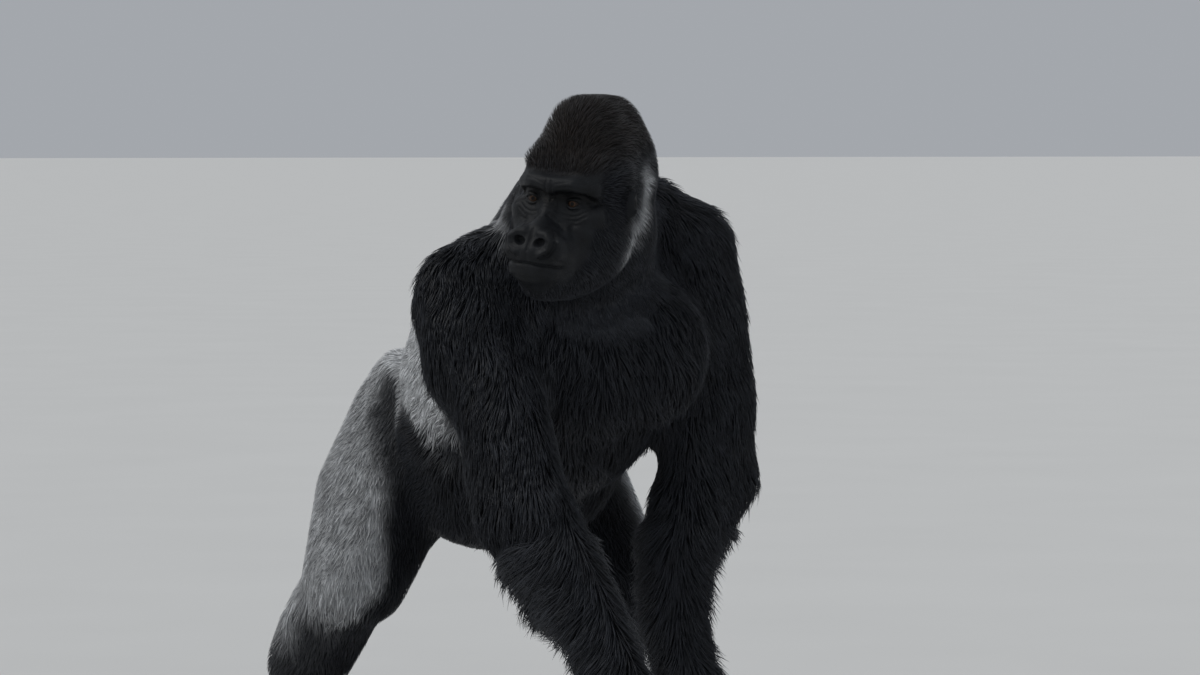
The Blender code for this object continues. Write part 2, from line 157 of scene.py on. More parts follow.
@dataclass(frozen=True)
class Ripple:
    """Smooth, made-up variation over space, about -1 to 1, the same on every run."""

    size: float
    seed: int
    waves: int = 14

    def at(self, points: Array) -> Array:
        """The variation at each point."""
        draw = np.random.default_rng(self.seed)
        turns = unit(draw.normal(size=(self.waves, 3))) * draw.uniform(0.6, 1.5, (self.waves, 1))
        phases = draw.uniform(0, 2 * math.pi, self.waves)
        angles = points @ (turns.T * (2 * math.pi / self.size)) + phases
        return np.sin(angles).sum(-1) / math.sqrt(self.waves / 2) / 1.6


# ------------------------------------------------------------------ where the joints are
@dataclass(frozen=True)
class Limb:
    """The joints of one arm or leg, from the trunk outward, in metres."""

    upper: Point
    middle: Point
    lower: Point
    end: Point

    def reach(self, first: str, last: str) -> Array:
        """The way from one named joint to another, at length one."""
        return unit(np.subtract(getattr(self, last), getattr(self, first)))


ARMS: dict[Side, Limb] = {
    Side.RIGHT: Limb(
        (-0.2093, -0.1465, 0.865), (-0.1683, -0.3715, 0.520),
        (-0.0543, -0.5245, 0.205), (-0.0303, -0.5715, 0.0),
    ),
    Side.LEFT: Limb(
        (0.2417, -0.0915, 0.966), (0.2837, -0.0615, 0.535),
        (0.2247, -0.1515, 0.185), (0.2187, -0.1845, 0.0),
    ),
}
LEGS: dict[Side, Limb] = {
    Side.RIGHT: Limb(
        (-0.1183, 0.4235, 0.625), (-0.2603, 0.3215, 0.340),
        (-0.2993, 0.5385, 0.090), (-0.3480, 0.4300, 0.0),
    ),
    Side.LEFT: Limb(
        (0.1377, 0.4135, 0.625), (0.2407, 0.2335, 0.335),
        (0.2507, 0.3135, 0.090), (0.2780, 0.1800, 0.0),
    ),
}

# The head's own frame: its origin is between the eyes, -Y is ahead and +X is to its left.
EYES: Point = (-0.1286, -0.3836, 1.063)
HEAD_TURN = Euler([math.radians(angle) for angle in (4.0, 7.0, -49.0)], "XYZ")
HEAD = Matrix.LocRotScale(Vector(EYES), HEAD_TURN, None)
HEAD_REACH = 0.20  # how far from the eyes the head ends
EYE_RADIUS = 0.0150
EYE_PLACES: dict[Side, Point] = {side: (side.value * 0.0395, 0.0020, 0.0) for side in Side}
EAR_OUT = 0.110  # how far each ear is from the head's middle
EAR_BACK = 0.096  # how far it is behind the eyes
EAR_REACH = 0.036  # how far from its middle it ends


def in_head(points: Array) -> Array:
    """Points given in the head's own frame."""
    return shifted(points, HEAD.inverted())


def ear_gap(own: Array) -> Array:
    """How far points of the head's frame are from the ears' middles, seen from the side."""
    return np.hypot(own[:, 1] - EAR_BACK, own[:, 2])


# ------------------------------------------------------------------ finishes
class Board:
    """A material's node tree, with short ways to add and join nodes."""

    # where the sockets of a Mix node are
    MIX_FLOAT, MIX_COLOUR = (2, 3, 0), (6, 7, 2)  # first value, second value, result

    def __init__(self, name: str) -> None:
        """Makes the material and its shader."""
        self.material = bpy.data.materials.new(name)
        self.material.use_nodes = True
        self.tree = self.material.node_tree
        self.shader = self.tree.nodes["Principled BSDF"]

    def fill(self, node: bpy.types.Node, values: dict) -> None:
        """Gives a node's inputs their values.

        Args:
            node: The node.
            values: A socket to join to, or a plain value, under each input's name or number.
        """
        for key, value in values.items():
            target = node.inputs[key]
            if isinstance(value, Socket):
                self.tree.links.new(value, target)
            elif target.type == "RGBA":
                target.default_value = (*value, 1.0)
            else:
                target.default_value = value

    def node(self, kind: str, values: dict | None = None, **settings: object) -> bpy.types.Node:
        """A new node.

        Args:
            kind: The node's type, without the ShaderNode in front.
            values: What its inputs get, as in fill().
            **settings: Properties of the node.

        Returns:
            The node.
        """
        made = self.tree.nodes.new("ShaderNode" + kind)
        for key, value in settings.items():
            setattr(made, key, value)
        self.fill(made, values or {})
        return made

    def finish(self, **values: object) -> bpy.types.Material:
        """Fills the shader's own inputs and gives the material."""
        self.fill(self.shader, {key.replace("_", " "): value for key, value in values.items()})
        return self.material

    def place(self) -> Socket:
        """Where a point is on the object."""
        return self.node("TexCoord").outputs["Object"]

    def noise(self, scale: float, detail: float = 3.0, stretch: Point = (1, 1, 1)) -> Socket:
        """Cloudy noise over the object.

        Args:
            scale: How fine the noise is, per metre.
            detail: How many finer layers it has.
            stretch: How its axes are squeezed.

        Returns:
            The noise as a number from 0 to 1.
        """
        place = self.node("Mapping", {"Scale": stretch, "Vector": self.place()}).outputs["Vector"]
        return self.node("TexNoise", {"Scale": scale, "Detail": detail, "Vector": place}).outputs["Fac"]

    def scaled(self, value: Socket, low: float, high: float) -> Socket:
        """A number from 0 to 1 spread between two others."""
        return self.node("MapRange", {"Value": value, "To Min": low, "To Max": high}).outputs["Result"]

    def sum_of(self, kind: str, *values: Socket | float) -> Socket:
        """A sum on two or three numbers; kind is the operation, such as MULTIPLY."""
        return self.node("Math", dict(enumerate(values)), operation=kind).outputs[0]

    def mixed(self, part: Socket, first: object, second: object, colours: bool = True) -> Socket:
        """One value turning into another.

        Args:
            part: How much of the second one there is.
            first: A colour or a socket.
            second: A colour or a socket.
            colours: Whether these are colours, not numbers.

        Returns:
            The mixed value.
        """
        low, high, result = self.MIX_COLOUR if colours else self.MIX_FLOAT
        kind = "RGBA" if colours else "FLOAT"
        return self.node("Mix", {0: part, low: first, high: second}, data_type=kind).outputs[result]

    def dimmed(self, colour: Socket | Colour, amount: Socket) -> Socket:
        """A colour made darker or lighter by a number."""
        return self.node("VectorMath", {0: colour, "Scale": amount}, operation="SCALE").outputs[0]

    def bump(self, height: Socket, strength: float, distance: float) -> Socket:
        """The shader's normal, bent by a height."""
        values = {"Strength": strength, "Distance": distance, "Height": height}
        return self.node("Bump", values).outputs["Normal"]

    def attribute(self, name: str) -> Socket:
        """A number that the mesh carries."""
        return self.node("Attribute", attribute_name=name).outputs["Fac"]

    def marks(self) -> tuple[Socket, ...]:
        """The markings that the mesh carries, in the order of Mark."""
        read = self.node("Attribute", attribute_name=MARKINGS)
        parts = self.node("SeparateColor", {"Color": read.outputs["Color"]})
        return (*parts.outputs, read.outputs["Alpha"])


@dataclass(frozen=True)
class Pigments:
    """The colours that skin and coat share, each at the root and at the tip of a hair."""

    # the blue tint of the black hair, at root and tip, is painted sheen on near-black hair
    black: tuple[Colour, Colour] = ((0.0060, 0.0068, 0.0090), (0.0190, 0.0215, 0.0275))
    brown: tuple[Colour, Colour] = ((0.0060, 0.0043, 0.0034), (0.0165, 0.0112, 0.0082))
    silver: tuple[Colour, Colour] = ((0.4200, 0.4300, 0.4450), (0.8500, 0.8650, 0.8800))

    def on(self, board: Board, along: Socket) -> Socket:
        """The coat's colour from the markings, dimmed by their random tone and painted shade.

        Args:
            board: The node tree to add to.
            along: How far along its hair a point is, from 0 to 1.

        Returns:
            The colour.
        """
        silver, brown, _, shade = board.marks()
        tones = [board.mixed(along, *pair) for pair in (self.black, self.brown, self.silver)]
        coat = board.mixed(silver, board.mixed(brown, *tones[:2]), tones[2])
        uneven = board.scaled(board.noise(34.0), 0.62, 1.38)
        return board.dimmed(coat, board.sum_of("MULTIPLY", shade, uneven))


PIGMENTS = Pigments()


@dataclass(frozen=True)
class HairFinish:
    """Straight hair: paler at the tips, with a soft sheen."""

    name: str = "gorilla_hair"
    roughness: float = 0.50
    specular: float = 0.34
    sheen: float = 0.04
    sheen_roughness: float = 0.45
    sheen_tint: Colour = (0.72, 0.80, 1.0)

    def make(self) -> bpy.types.Material:
        """The material."""
        board = Board(self.name)
        return board.finish(
            Base_Color=PIGMENTS.on(board, board.marks()[Mark.ALONG.value]),
            Roughness=self.roughness, Specular_IOR_Level=self.specular,
            Sheen_Weight=self.sheen, Sheen_Roughness=self.sheen_roughness, Sheen_Tint=self.sheen_tint,
            Normal=board.bump(board.noise(900.0, 2.0), 0.25, 0.0006),
        )


@dataclass(frozen=True)
class SkinFinish:
    """Dark leathery skin, and the short undercoat where hair grows."""

    name: str = "gorilla_skin"
    slate: Colour = (0.0058, 0.0066, 0.0080)
    worn: Colour = (0.0150, 0.0165, 0.0190)
    roughness: float = 0.84  # of the undercoat; bare skin is glossier
    specular: float = 0.17

    def relief(self, board: Board, bare: Socket) -> Socket:
        """The height of the skin's cracks and grain, or of the undercoat."""
        values = {"Scale": 430.0, "Vector": board.place()}
        cracks = board.node("TexVoronoi", values, feature="DISTANCE_TO_EDGE")
        leathery = board.sum_of("MULTIPLY", board.scaled(cracks.outputs["Distance"], 0.0, 1.6), 0.55)
        grain = board.sum_of("MULTIPLY_ADD", board.noise(950.0, 3.0), 0.5, leathery)
        return board.mixed(bare, board.noise(620.0, 3.0, (1, 1, 0.25)), grain, colours=False)

    def make(self) -> bpy.types.Material:
        """The material."""
        board = Board(self.name)
        bare = board.attribute(BARE)
        undercoat = PIGMENTS.on(board, board.scaled(board.noise(520.0, 2.0, (1, 1, 0.35)), 0.0, 0.62))
        patches = board.mixed(board.scaled(board.noise(48.0, 4.0), -0.35, 1.15), self.slate, self.worn)
        # painted shade darkens the bare skin and undercoat in the eye sockets, round the ears, in the
        # flank's fold and the grooves of the digits
        leather = board.dimmed(patches, board.marks()[Mark.SHADE.value])
        gloss = board.sum_of("MULTIPLY", bare, board.scaled(board.noise(160.0), -0.46, -0.30))
        return board.finish(
            Base_Color=board.mixed(bare, undercoat, leather),
            Roughness=board.sum_of("ADD", gloss, self.roughness),
            Specular_IOR_Level=self.specular,
            Normal=board.bump(self.relief(board, bare), 0.65, 0.0011),
        )


@dataclass(frozen=True)
class EyeFinish:
    """A wet eye: dark white, amber-brown iris and black pupil, ringed round the gaze."""

    name: str = "gorilla_eye"
    iris: float = 0.0066
    pupil: float = 0.0027
    black: Colour = (0.001, 0.001, 0.001)
    pupil_edge: Colour = (0.002, 0.001, 0.001)
    white: Colour = (0.0160, 0.0105, 0.0080)
    amber: Colour = (0.0540, 0.0285, 0.0150)
    iris_edge: Colour = (0.0260, 0.0140, 0.0080)
    rim: Colour = (0.0180, 0.0080, 0.0040)

    def make(self) -> bpy.types.Material:
        """The material, which reads how far a point is from the line of gaze."""
        board = Board(self.name)
        ring = board.node("ValToRGB", {"Fac": board.attribute(OFF_GAZE)})
        ramp = ring.color_ramp
        pupil, iris = self.pupil / EYE_RADIUS, self.iris / EYE_RADIUS
        stops = (
            (0.0, self.black), (pupil, self.pupil_edge), (pupil + 0.03, self.rim), (0.30, self.amber),
            (iris - 0.05, self.iris_edge), (iris, self.rim), (iris + 0.06, self.white),
        )
        while len(ramp.elements) < len(stops):
            ramp.elements.new(0.5)
        for element, (place, colour) in zip(ramp.elements, stops):
            element.position = place
            element.color = (*colour, 1.0)
        flecks = board.scaled(board.noise(700.0, 3.0), 0.65, 1.35)
        return board.finish(
            Base_Color=board.dimmed(ring.outputs["Color"], flecks),
            Roughness=0.12, Specular_IOR_Level=0.1, Coat_Weight=0.12, Coat_Roughness=0.03,
        )


@dataclass(frozen=True)
class NailFinish:
    """Black-brown horn with fine lengthwise lines, paler and worn along some of them."""

    name: str = "gorilla_nail"
    horn: Colour = (0.0130, 0.0108, 0.0096)
    worn: Colour = (0.0400, 0.0340, 0.0290)

    def make(self) -> bpy.types.Material:
        """The material."""
        board = Board(self.name)
        lines = board.noise(900.0, 3.0, (1.0, 0.12, 1.0))
        return board.finish(
            Base_Color=board.mixed(board.scaled(lines, -0.3, 1.1), self.horn, self.worn),
            Roughness=board.scaled(board.noise(300.0), 0.26, 0.5), Specular_IOR_Level=0.5,
            Normal=board.bump(lines, 0.35, 0.0004),
        )


@dataclass(frozen=True)
class FloorFinish:
    """A plain pale studio floor."""

    name: str = "studio_floor"
    pale: Colour = (0.60, 0.60, 0.59)

    def make(self) -> bpy.types.Material:
        """The material."""
        board = Board(self.name)
        colour = board.dimmed(self.pale, board.scaled(board.noise(1.5, 2.0), 0.97, 1.03))
        return board.finish(Base_Color=colour, Roughness=0.85, Specular_IOR_Level=0.2)


# ------------------------------------------------------------------ meshes
def shown(name: str, data: bpy.types.ID) -> bpy.types.Object:
    """An object of the scene that shows a mesh, a light or a camera."""
    made = bpy.data.objects.new(name, data)
    bpy.context.scene.collection.objects.link(made)
    return made


def new_mesh(name: str, points: Array, faces: list) -> bpy.types.Object:
    """A mesh object in the scene, from its corners and the corners of each face."""
    mesh = bpy.data.meshes.new(name)
    mesh.from_pydata(points.tolist(), [], faces)
    return shown(name, mesh)


def changed(holder: bpy.types.Object) -> bpy.types.Mesh:
    """A new mesh of what an object's modifiers make."""
    graph = bpy.context.evaluated_depsgraph_get()
    return bpy.data.meshes.new_from_object(holder.evaluated_get(graph))


@contextmanager
def opened(mesh: bpy.types.Mesh) -> Iterator[bmesh.types.BMesh]:
    """A mesh opened to edit its corners and edges, and written back at the end."""
    whole = bmesh.new()
    whole.from_mesh(mesh)
    yield whole
    whole.to_mesh(mesh)
    whole.free()


def read_rows(items: bpy.types.bpy_prop_collection, key: str, width: int, kind: type = np.int32) -> Array:
    """One measure of a mesh's items, a row for each item."""
    flat = np.empty(len(items) * width, kind)
    items.foreach_get(key, flat)
    return flat.reshape(-1, width)


def corners_of(mesh: bpy.types.Mesh) -> Array:
    """The places of a mesh's corners."""
    return read_rows(mesh.vertices, "co", 3, np.float32).astype(float)


def triangles_of(mesh: bpy.types.Mesh) -> Array:
    """The corners of each triangle of a mesh."""
    mesh.calc_loop_triangles()
    return read_rows(mesh.loop_triangles, "vertices", 3)


def put_corners(mesh: bpy.types.Mesh, points: Array) -> None:
    """Puts corners back into a mesh."""
    mesh.vertices.foreach_set("co", points.astype(np.float32).ravel())
    mesh.update()


def store(mesh: bpy.types.Mesh, name: str, values: Array) -> None:
    """Gives each corner of a mesh a number or a colour under a name."""
    kind, key = ("FLOAT_COLOR", "color") if values.ndim > 1 else ("FLOAT", "value")
    layer = mesh.attributes.new(name, kind, "POINT")
    layer.data.foreach_set(key, values.astype(np.float32).ravel())


def coat_over(mesh: bpy.types.Mesh, finish: bpy.types.Material) -> None:
    """Gives a whole mesh one finish and smooth faces."""
    mesh.materials.clear()
    mesh.materials.append(finish)
    mesh.polygons.foreach_set("use_smooth", np.ones(len(mesh.polygons), bool))


def above_floor(points: Array) -> None:
    """Lifts corners that are under the floor onto it."""
    points[:, 2] = np.maximum(points[:, 2], 0.0)


def sides_across(points: Array, triangles: Array) -> Array:
    """A vector square to each triangle, as long as twice its area."""
    a, b, c = (points[triangles[:, k]] for k in range(3))
    return np.cross(b - a, c - a)


def tree_over(points: Array, triangles: Array) -> BVHTree:
    """A search tree over triangles."""
    return BVHTree.FromPolygons(points.tolist(), triangles.tolist())


def nearest_on(tree: BVHTree, points: Array) -> list[Array]:
    """What is nearest to each point: the place, the way out there, the triangle and the gap."""
    hits = [tree.find_nearest(point) for point in points.tolist()]
    return [np.array(column) for column in zip(*hits)]


def merged(nodes: list[str]) -> tuple[Array, Array, list[str]]:
    """The corners and triangles of several solids, and the node that each triangle comes from."""
    points, faces, owners, count = [], [], [], 0
    for node in nodes:
        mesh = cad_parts[node].data
        points.append(corners_of(mesh))
        faces.append(triangles_of(mesh) + count)
        owners += [node] * len(faces[-1])
        count += len(points[-1])
    return np.concatenate(points), np.concatenate(faces), owners


@dataclass
class Surface:
    """The skin's shape as arrays: corners, triangles and edges."""

    points: Array
    triangles: Array
    edges: Array

    @classmethod
    def of(cls, mesh: bpy.types.Mesh) -> "Surface":
        """The surface of a mesh."""
        return cls(corners_of(mesh), triangles_of(mesh), read_rows(mesh.edges, "vertices", 2))

    def normals(self) -> Array:
        """The outward direction at each corner."""
        across = sides_across(self.points, self.triangles)
        total = np.zeros_like(self.points)
        for axis in range(3):
            for corners in self.triangles.T:
                total[:, axis] += np.bincount(corners, across[:, axis], minlength=len(self.points))
        return unit(total)

    def averaged(self, values: Array, rounds: int, share: Array | float = 0.5) -> Array:
        """Values evened out between neighbouring corners.

        Args:
            values: One row or number for each corner.
            rounds: How often they are evened.
            share: How far each goes towards its neighbours' mean.

        Returns:
            The evened values.
        """
        flat = values.reshape(len(values), -1).astype(float)
        first, second = self.edges.T
        count = np.bincount(self.edges.ravel(), minlength=len(values)).clip(1)[:, None]
        part = share[:, None] if isinstance(share, np.ndarray) else share
        for _ in range(rounds):
            total = [
                np.bincount(first, column[second], minlength=len(flat))
                + np.bincount(second, column[first], minlength=len(flat))
                for column in flat.T
            ]
            flat = flat + (np.stack(total, 1) / count - flat) * part
        return flat.reshape(values.shape)


# ------------------------------------------------------------------ the lie of the coat
@dataclass(frozen=True)
class Growth:
    """How hair grows on one part: its length, depth, thickness of stand and looseness.

    The coat reaches the solids' surface; proud is how far it passes it.
    """

    length: float
    depth: float
    stand: float = 1.0
    loose: float = 0.0
    proud: float = 0.0


GROWTHS: dict[str, Growth] = {
    "head": Growth(0.019, 0.0030, 2.2, 0.002, 0.004),
    "neck": Growth(0.048, 0.0090, 1.2, 0.028),
    "chest": Growth(0.046, 0.0090, 1.0, 0.024),
    "abdomen": Growth(0.024, 0.0060, 1.3, 0.003),
    "upper_arm": Growth(0.058, 0.0120, 1.0, 0.018),
    "forearm": Growth(0.074, 0.0150, 1.0, 0.032),
    "hand": Growth(0.014, 0.0014, 1.6),
    "thigh": Growth(0.023, 0.0060, 1.5, 0.003),
    "shin": Growth(0.042, 0.0080, 1.2, 0.014),
    "foot": Growth(0.018, 0.0026, 1.5, 0.002),
    "ear": Growth(0.008, 0.0006, 0.5),
}

# The pale streak behind each ear, partly grey hair and partly painted sheen, on the head as seen level
# from its side, in millimetres.
STREAK: Path = ((172, 46), (182, 22), (180, -10), (162, -40), (118, -66), (88, -92))
STREAK_WIDTH = 14.0
# How low the silver of the flank reaches: distances along the animal, and heights there.
SADDLE_HEM = ((0.0, 0.10, 0.165, 0.235, 0.30), (0.560, 0.598, 0.632, 0.664, 0.600))
# How silver the streak (grey hair and painted sheen), the thigh's outside and its other sides are,
# against the saddle.
STREAK_GREY_AND_SHEEN, THIGH_SILVER, INNER_SILVER = 0.90, 0.72, 0.07
EAR_BARE = 0.85


@dataclass
class LieOfCoat:
    """Reads the animal's parts and says how its coat lies, how long it is and how it is marked."""

    parts: Array  # the part's name at each corner of the skin
    sides: Array  # the side's sign at each corner, 0 on the middle parts
    points: Array
    normals: Array
    own: Array = field(init=False)  # the corners in the head's frame

    def __post_init__(self) -> None:
        """Works out where the corners are in the head's frame."""
        self.own = in_head(self.points)

    def on(self, *parts: str) -> Array:
        """Which corners belong to one of the parts."""
        return np.isin(self.parts, parts)

    def growth(self, measure: str) -> Array:
        """One measure of the growth at each corner."""
        found = np.zeros(len(self.parts))
        for part, growth in GROWTHS.items():
            found[self.on(part)] = getattr(growth, measure)
        return found

    def bare(self) -> Array:
        """How bare each corner is: face, ears, palms, soles, fingers and toes."""
        x, y, z = np.abs(self.own[:, 0]), self.own[:, 1], self.own[:, 2]
        waver = 0.006 * Ripple(0.022, 7).at(self.points)
        crown = ease(z - 0.10 * x, 0.040, 0.054)
        cheek = ease(y + 0.25 * (x - 0.05) + waver, 0.012, 0.056)
        chin = ease(np.hypot(x / 0.078, (z + 0.048) / 0.106) + waver * 8, 0.92, 1.16) * (z < -0.04)
        found = np.where(self.on("head"), 1 - np.maximum(np.maximum(crown, cheek), chin), 0.0)
        found[self.on("ear")] = EAR_BARE
        hand, foot = self.on("hand"), self.on("foot")
        low = -self.points[:, 2]
        found[hand] = np.maximum(ease(low, -0.085, -0.050), ease(self.normals[:, 1], 0.35, 0.65))[hand]
        toes = np.zeros(len(low))
        for side in Side:
            ankle, end = np.array(LEGS[side].lower), np.array(LEGS[side].end)
            ahead = (self.points - ankle) @ unit((end - ankle) * (1, 1, 0))
            toes = np.where(self.sides == side.value, ease(ahead, 0.095, 0.135), toes)
        found[foot] = np.maximum(ease(low, -0.030, -0.012), toes)[foot]
        return found

    def thigh_silver(self, side: Side, waver: Array) -> Array:
        """How silver one thigh is.

        Args:
            side: The thigh's side.
            waver: An uneven edge, in metres at each corner.

        Returns:
            The silver over the whole skin, as if all of it were that thigh.
        """
        hip, knee = np.array(LEGS[side].upper), np.array(LEGS[side].middle)
        reach = knee - hip
        part = np.clip((self.points - hip) @ reach / (reach @ reach), 0, 1.15)
        spoke = unit(self.points - hip - part[:, None] * reach)
        outward = unit(np.array([side.value * 0.75, 0.30, 0.60]))
        # front: less silver at the front of the thigh's top, painted shade under the bulge of the flank
        front = 0.34 * ease(part, 0.0, 0.12) * (1 - part) ** 2 * ease(-spoke[:, 1], -0.3, 0.4)
        facing = spoke @ outward + (0.6 - 0.4 * side.value) * part - front + waver * 2.5
        low = self.points[:, 2] + 0.6 * waver + 0.3 * (side.value * self.points[:, 0] - 0.30)
        inner = INNER_SILVER * ease(spoke[:, 0] * side.value, -0.1, 0.5)
        return np.maximum(THIGH_SILVER * ease(facing, 0.46, 0.80) * ease(low, 0.212, 0.306), inner)

    def silver(self) -> Array:
        """How silver the coat is: saddle, flanks, rump, outer thighs and the streak behind the ear, which
        is partly painted sheen; the front of each thigh's top is kept darker as painted shade.
        """
        _, y, z = self.points.T
        waver = 0.030 * Ripple(0.16, 11).at(self.points)
        saddle = ease(y + waver, -0.045, 0.060)
        saddle = saddle * ease(z + waver * 0.5 - np.interp(y, *SADDLE_HEM), -0.018, 0.034)
        saddle *= 1 - ease(-self.normals[:, 2], 0.25, 0.65)
        found = np.where(self.on("abdomen", "chest"), saddle, 0.0)
        for side in Side:
            own = self.on("thigh", "shin") & (self.sides == side.value)
            found = np.where(own, self.thigh_silver(side, waver), found)
        ragged = 3.5 * Ripple(0.018, 15).at(self.points)
        # the streak is partly grey hair and partly painted sheen
        streak = hump(path_distance(self.own[:, 1:] / MILLIMETRE, STREAK) + ragged, STREAK_WIDTH)
        streak *= ease(np.abs(self.own[:, 0]), 0.050, 0.080)
        return np.where(self.on("head", "neck"), np.maximum(found, STREAK_GREY_AND_SHEEN * streak), found)

    def brown(self) -> Array:
        """How brown the coat is: the crown alone."""
        crown = ease(self.own[:, 2] - 0.25 * self.own[:, 1], 0.028, 0.075)
        return np.where(self.on("head"), crown, 0.0)

    def flow(self) -> Array:
        """Which way the hair points at each corner."""
        x, y, z = self.own.T
        ones = np.ones(len(x))
        flow = np.tile([0.0, 0.80, -0.62], (len(x), 1))
        crown = ease(z, -0.005, 0.045)[:, None]
        over = np.stack([0.25 * x / 0.08, ones, np.clip(0.65 - 9.0 * (y - 0.045), -1.4, 0.65)], 1)
        down = np.stack([0.15 * np.sign(x), 0.70 * ones, -0.85 * ones], 1)
        head = (crown * over + (1 - crown) * down) @ np.array(HEAD.to_3x3()).T
        flow = np.where(self.on("head")[:, None], head, flow)
        flow[self.on("neck")] = (0.20, 0.72, -0.66)
        breast = self.on("chest") & (self.normals[:, 1] < -0.25)
        flow[breast] = np.stack([0.25 * np.sign(self.points[:, 0]), 0 * ones, -ones], 1)[breast]
        for side in Side:
            arm, leg = ARMS[side], LEGS[side]
            for part, along, share, drift in (
                ("upper_arm", arm.reach("upper", "middle"), 1.0, (side.value * 0.25, 0.36, -0.10)),
                ("forearm", arm.reach("lower", "middle"), 0.30, (side.value * 0.1, 0.50, -0.80)),
                ("hand", arm.reach("lower", "end"), 1.0, (0, 0, 0)),
                ("thigh", leg.reach("upper", "middle"), 0.8, (0, 0.35, -0.40)),
                ("shin", leg.reach("middle", "lower"), 0.7, (0, 0.15, -0.60)),
                ("foot", leg.reach("lower", "end"), 1.0, (0, -0.3, 0.2)),
                ("ear", np.zeros(3), 1.0, (0, 0.3, 1.0)),
            ):
                flow[self.on(part) & (self.sides == side.value)] = share * along + drift
        return unit(flow)


@dataclass(frozen=True)
class Fold:
    """A soft groove of the flank, drawn on the animal's side as seen level, in metres."""

    path: Path = ((0.292, 0.735), (0.235, 0.655), (0.165, 0.61), (0.10, 0.575))
    width: float = 0.020
    depth: float = 0.012

    def at(self, lie: LieOfCoat) -> Array:
        """How much of the groove each corner has, from 0 to 1."""
        outward = lie.normals[:, 0] * np.sign(lie.points[:, 0])
        near = hump(path_distance(lie.points[:, 1:], self.path), self.width)
        return near * ease(outward, 0.15, 0.50) * lie.on("abdomen", "thigh", "chest")


FOLD = Fold()


@dataclass(frozen=True)
class Swell:
    """A soft rise of the skin: its middle, its width and how far it goes, in metres."""

    place: Point
    width: float
    push: Point

    def at(self, points: Array, normals: Array) -> Array:
        """How far each corner moves."""
        near = hump(np.linalg.norm(points - self.place, axis=1), self.width)
        near *= ease(normals @ unit(np.array(self.push)), -0.1, 0.5)
        return near[:, None] * self.push


# The hump between the neck and the right shoulder, the left upper arm's middle, the right hip and calf.
SWELLS: tuple[Swell, ...] = (
    Swell((-0.235, -0.155, 0.965), 0.065, (-0.019, 0.006, 0.019)),
    Swell((0.345, -0.124, 0.816), 0.060, (0.014, -0.005, 0.0)),
    Swell((-0.180, 0.370, 0.735), 0.070, (-0.010, 0.0, 0.018)),
    Swell((-0.365, 0.470, 0.150), 0.075, (-0.020, 0.008, 0.0)),
    Swell((-0.358, 0.400, 0.215), 0.065, (-0.010, 0.004, 0.0)),
)


# ------------------------------------------------------------------ the face and hands
@dataclass(frozen=True)
class Crease:
    """A groove, or a ridge where it is negative, drawn on the front of the face in millimetres."""

    path: Path
    width: float
    depth: float
    mirrored: bool = True

    def ways(self) -> list[Path]:
        """The path, and the one on the other side of the face if there is one."""
        return [self.path] + [tuple((-x, z) for x, z in self.path)] * self.mirrored


def across_face(*half: tuple[float, float]) -> Path:
    """A path over the whole face from its left half, which starts at the middle."""
    return tuple((-x, z) for x, z in reversed(half) if x) + half


MOUTH = across_face((0, -104), (20, -106), (40, -107), (52, -109))
CREASES: tuple[Crease, ...] = (
    # round the wings of the nose
    Crease(((9, -20), (20, -31), (38, -43), (49, -58), (49, -72), (39, -88), (24, -95)), 3.4, 4.0),
    Crease(((14, -49), (29, -51), (40, -62), (38, -77), (24, -87)), 5.4, -4.8),
    Crease(((0, -44), (0, -80)), 2.6, 2.2, False),
    Crease(((0, -80), (0, -100)), 2.4, 0.8, False),
    # the mouth and the lips above and below it
    Crease(MOUTH, 2.2, 3.2, False),
    Crease(across_face((0, -97), (22, -99), (44, -101)), 4.0, -1.3, False),
    Crease(across_face((0, -112), (22, -113), (42, -115)), 4.2, -1.7, False),
    Crease(across_face((0, -133), (30, -130)), 6.0, 1.6, False),
    # folds of the cheek
    Crease(((46, -38), (60, -58), (67, -82), (69, -104), (63, -124)), 3.6, 2.4),
    Crease(((48, -34), (64, -52), (72, -76)), 2.6, 1.3),
    Crease(((50, -88), (55, -104), (52, -120)), 2.4, 1.0),
    # bags beneath the eyes
    Crease(((17, -14), (26, -20), (40, -23), (54, -20), (66, -11)), 2.1, 1.5),
    Crease(((20, -22), (34, -30), (52, -30), (68, -20)), 2.2, 1.2),
    Crease(((26, -32), (42, -39), (60, -36)), 2.0, 0.8),
    Crease(((56, -4), (68, -8), (78, -14)), 1.8, 0.9),
    Crease(((58, 4), (70, 4), (80, 0)), 1.8, 0.8),
    # the socket under the brow, the brow and the bridge of the nose
    Crease(((6, 7), (20, 13), (40, 15), (60, 12), (74, 3)), 6.0, 5.6),
    Crease(((5, 14), (7, 26), (5, 38)), 2.2, 1.5),
    Crease(across_face((0, 12), (13, 9)), 2.0, 1.3, False),
    Crease(across_face((0, 0), (12, -2)), 1.7, 1.0, False),
    Crease(across_face((0, -9), (13, -11)), 1.7, 0.9, False),
    Crease(((12, 33), (36, 39), (62, 35)), 1.9, 0.7),
    Crease(((16, 26), (38, 31), (66, 26)), 1.7, 0.6),
)
# The line under the brow along which painted shade darkens the eye sockets, in millimetres.
SOCKETS = across_face((0, 4), (20, 9), (40, 11), (60, 9), (74, 2))
NOSTRIL: tuple[float, float] = (20.0, -66.0)  # across and up, in millimetres


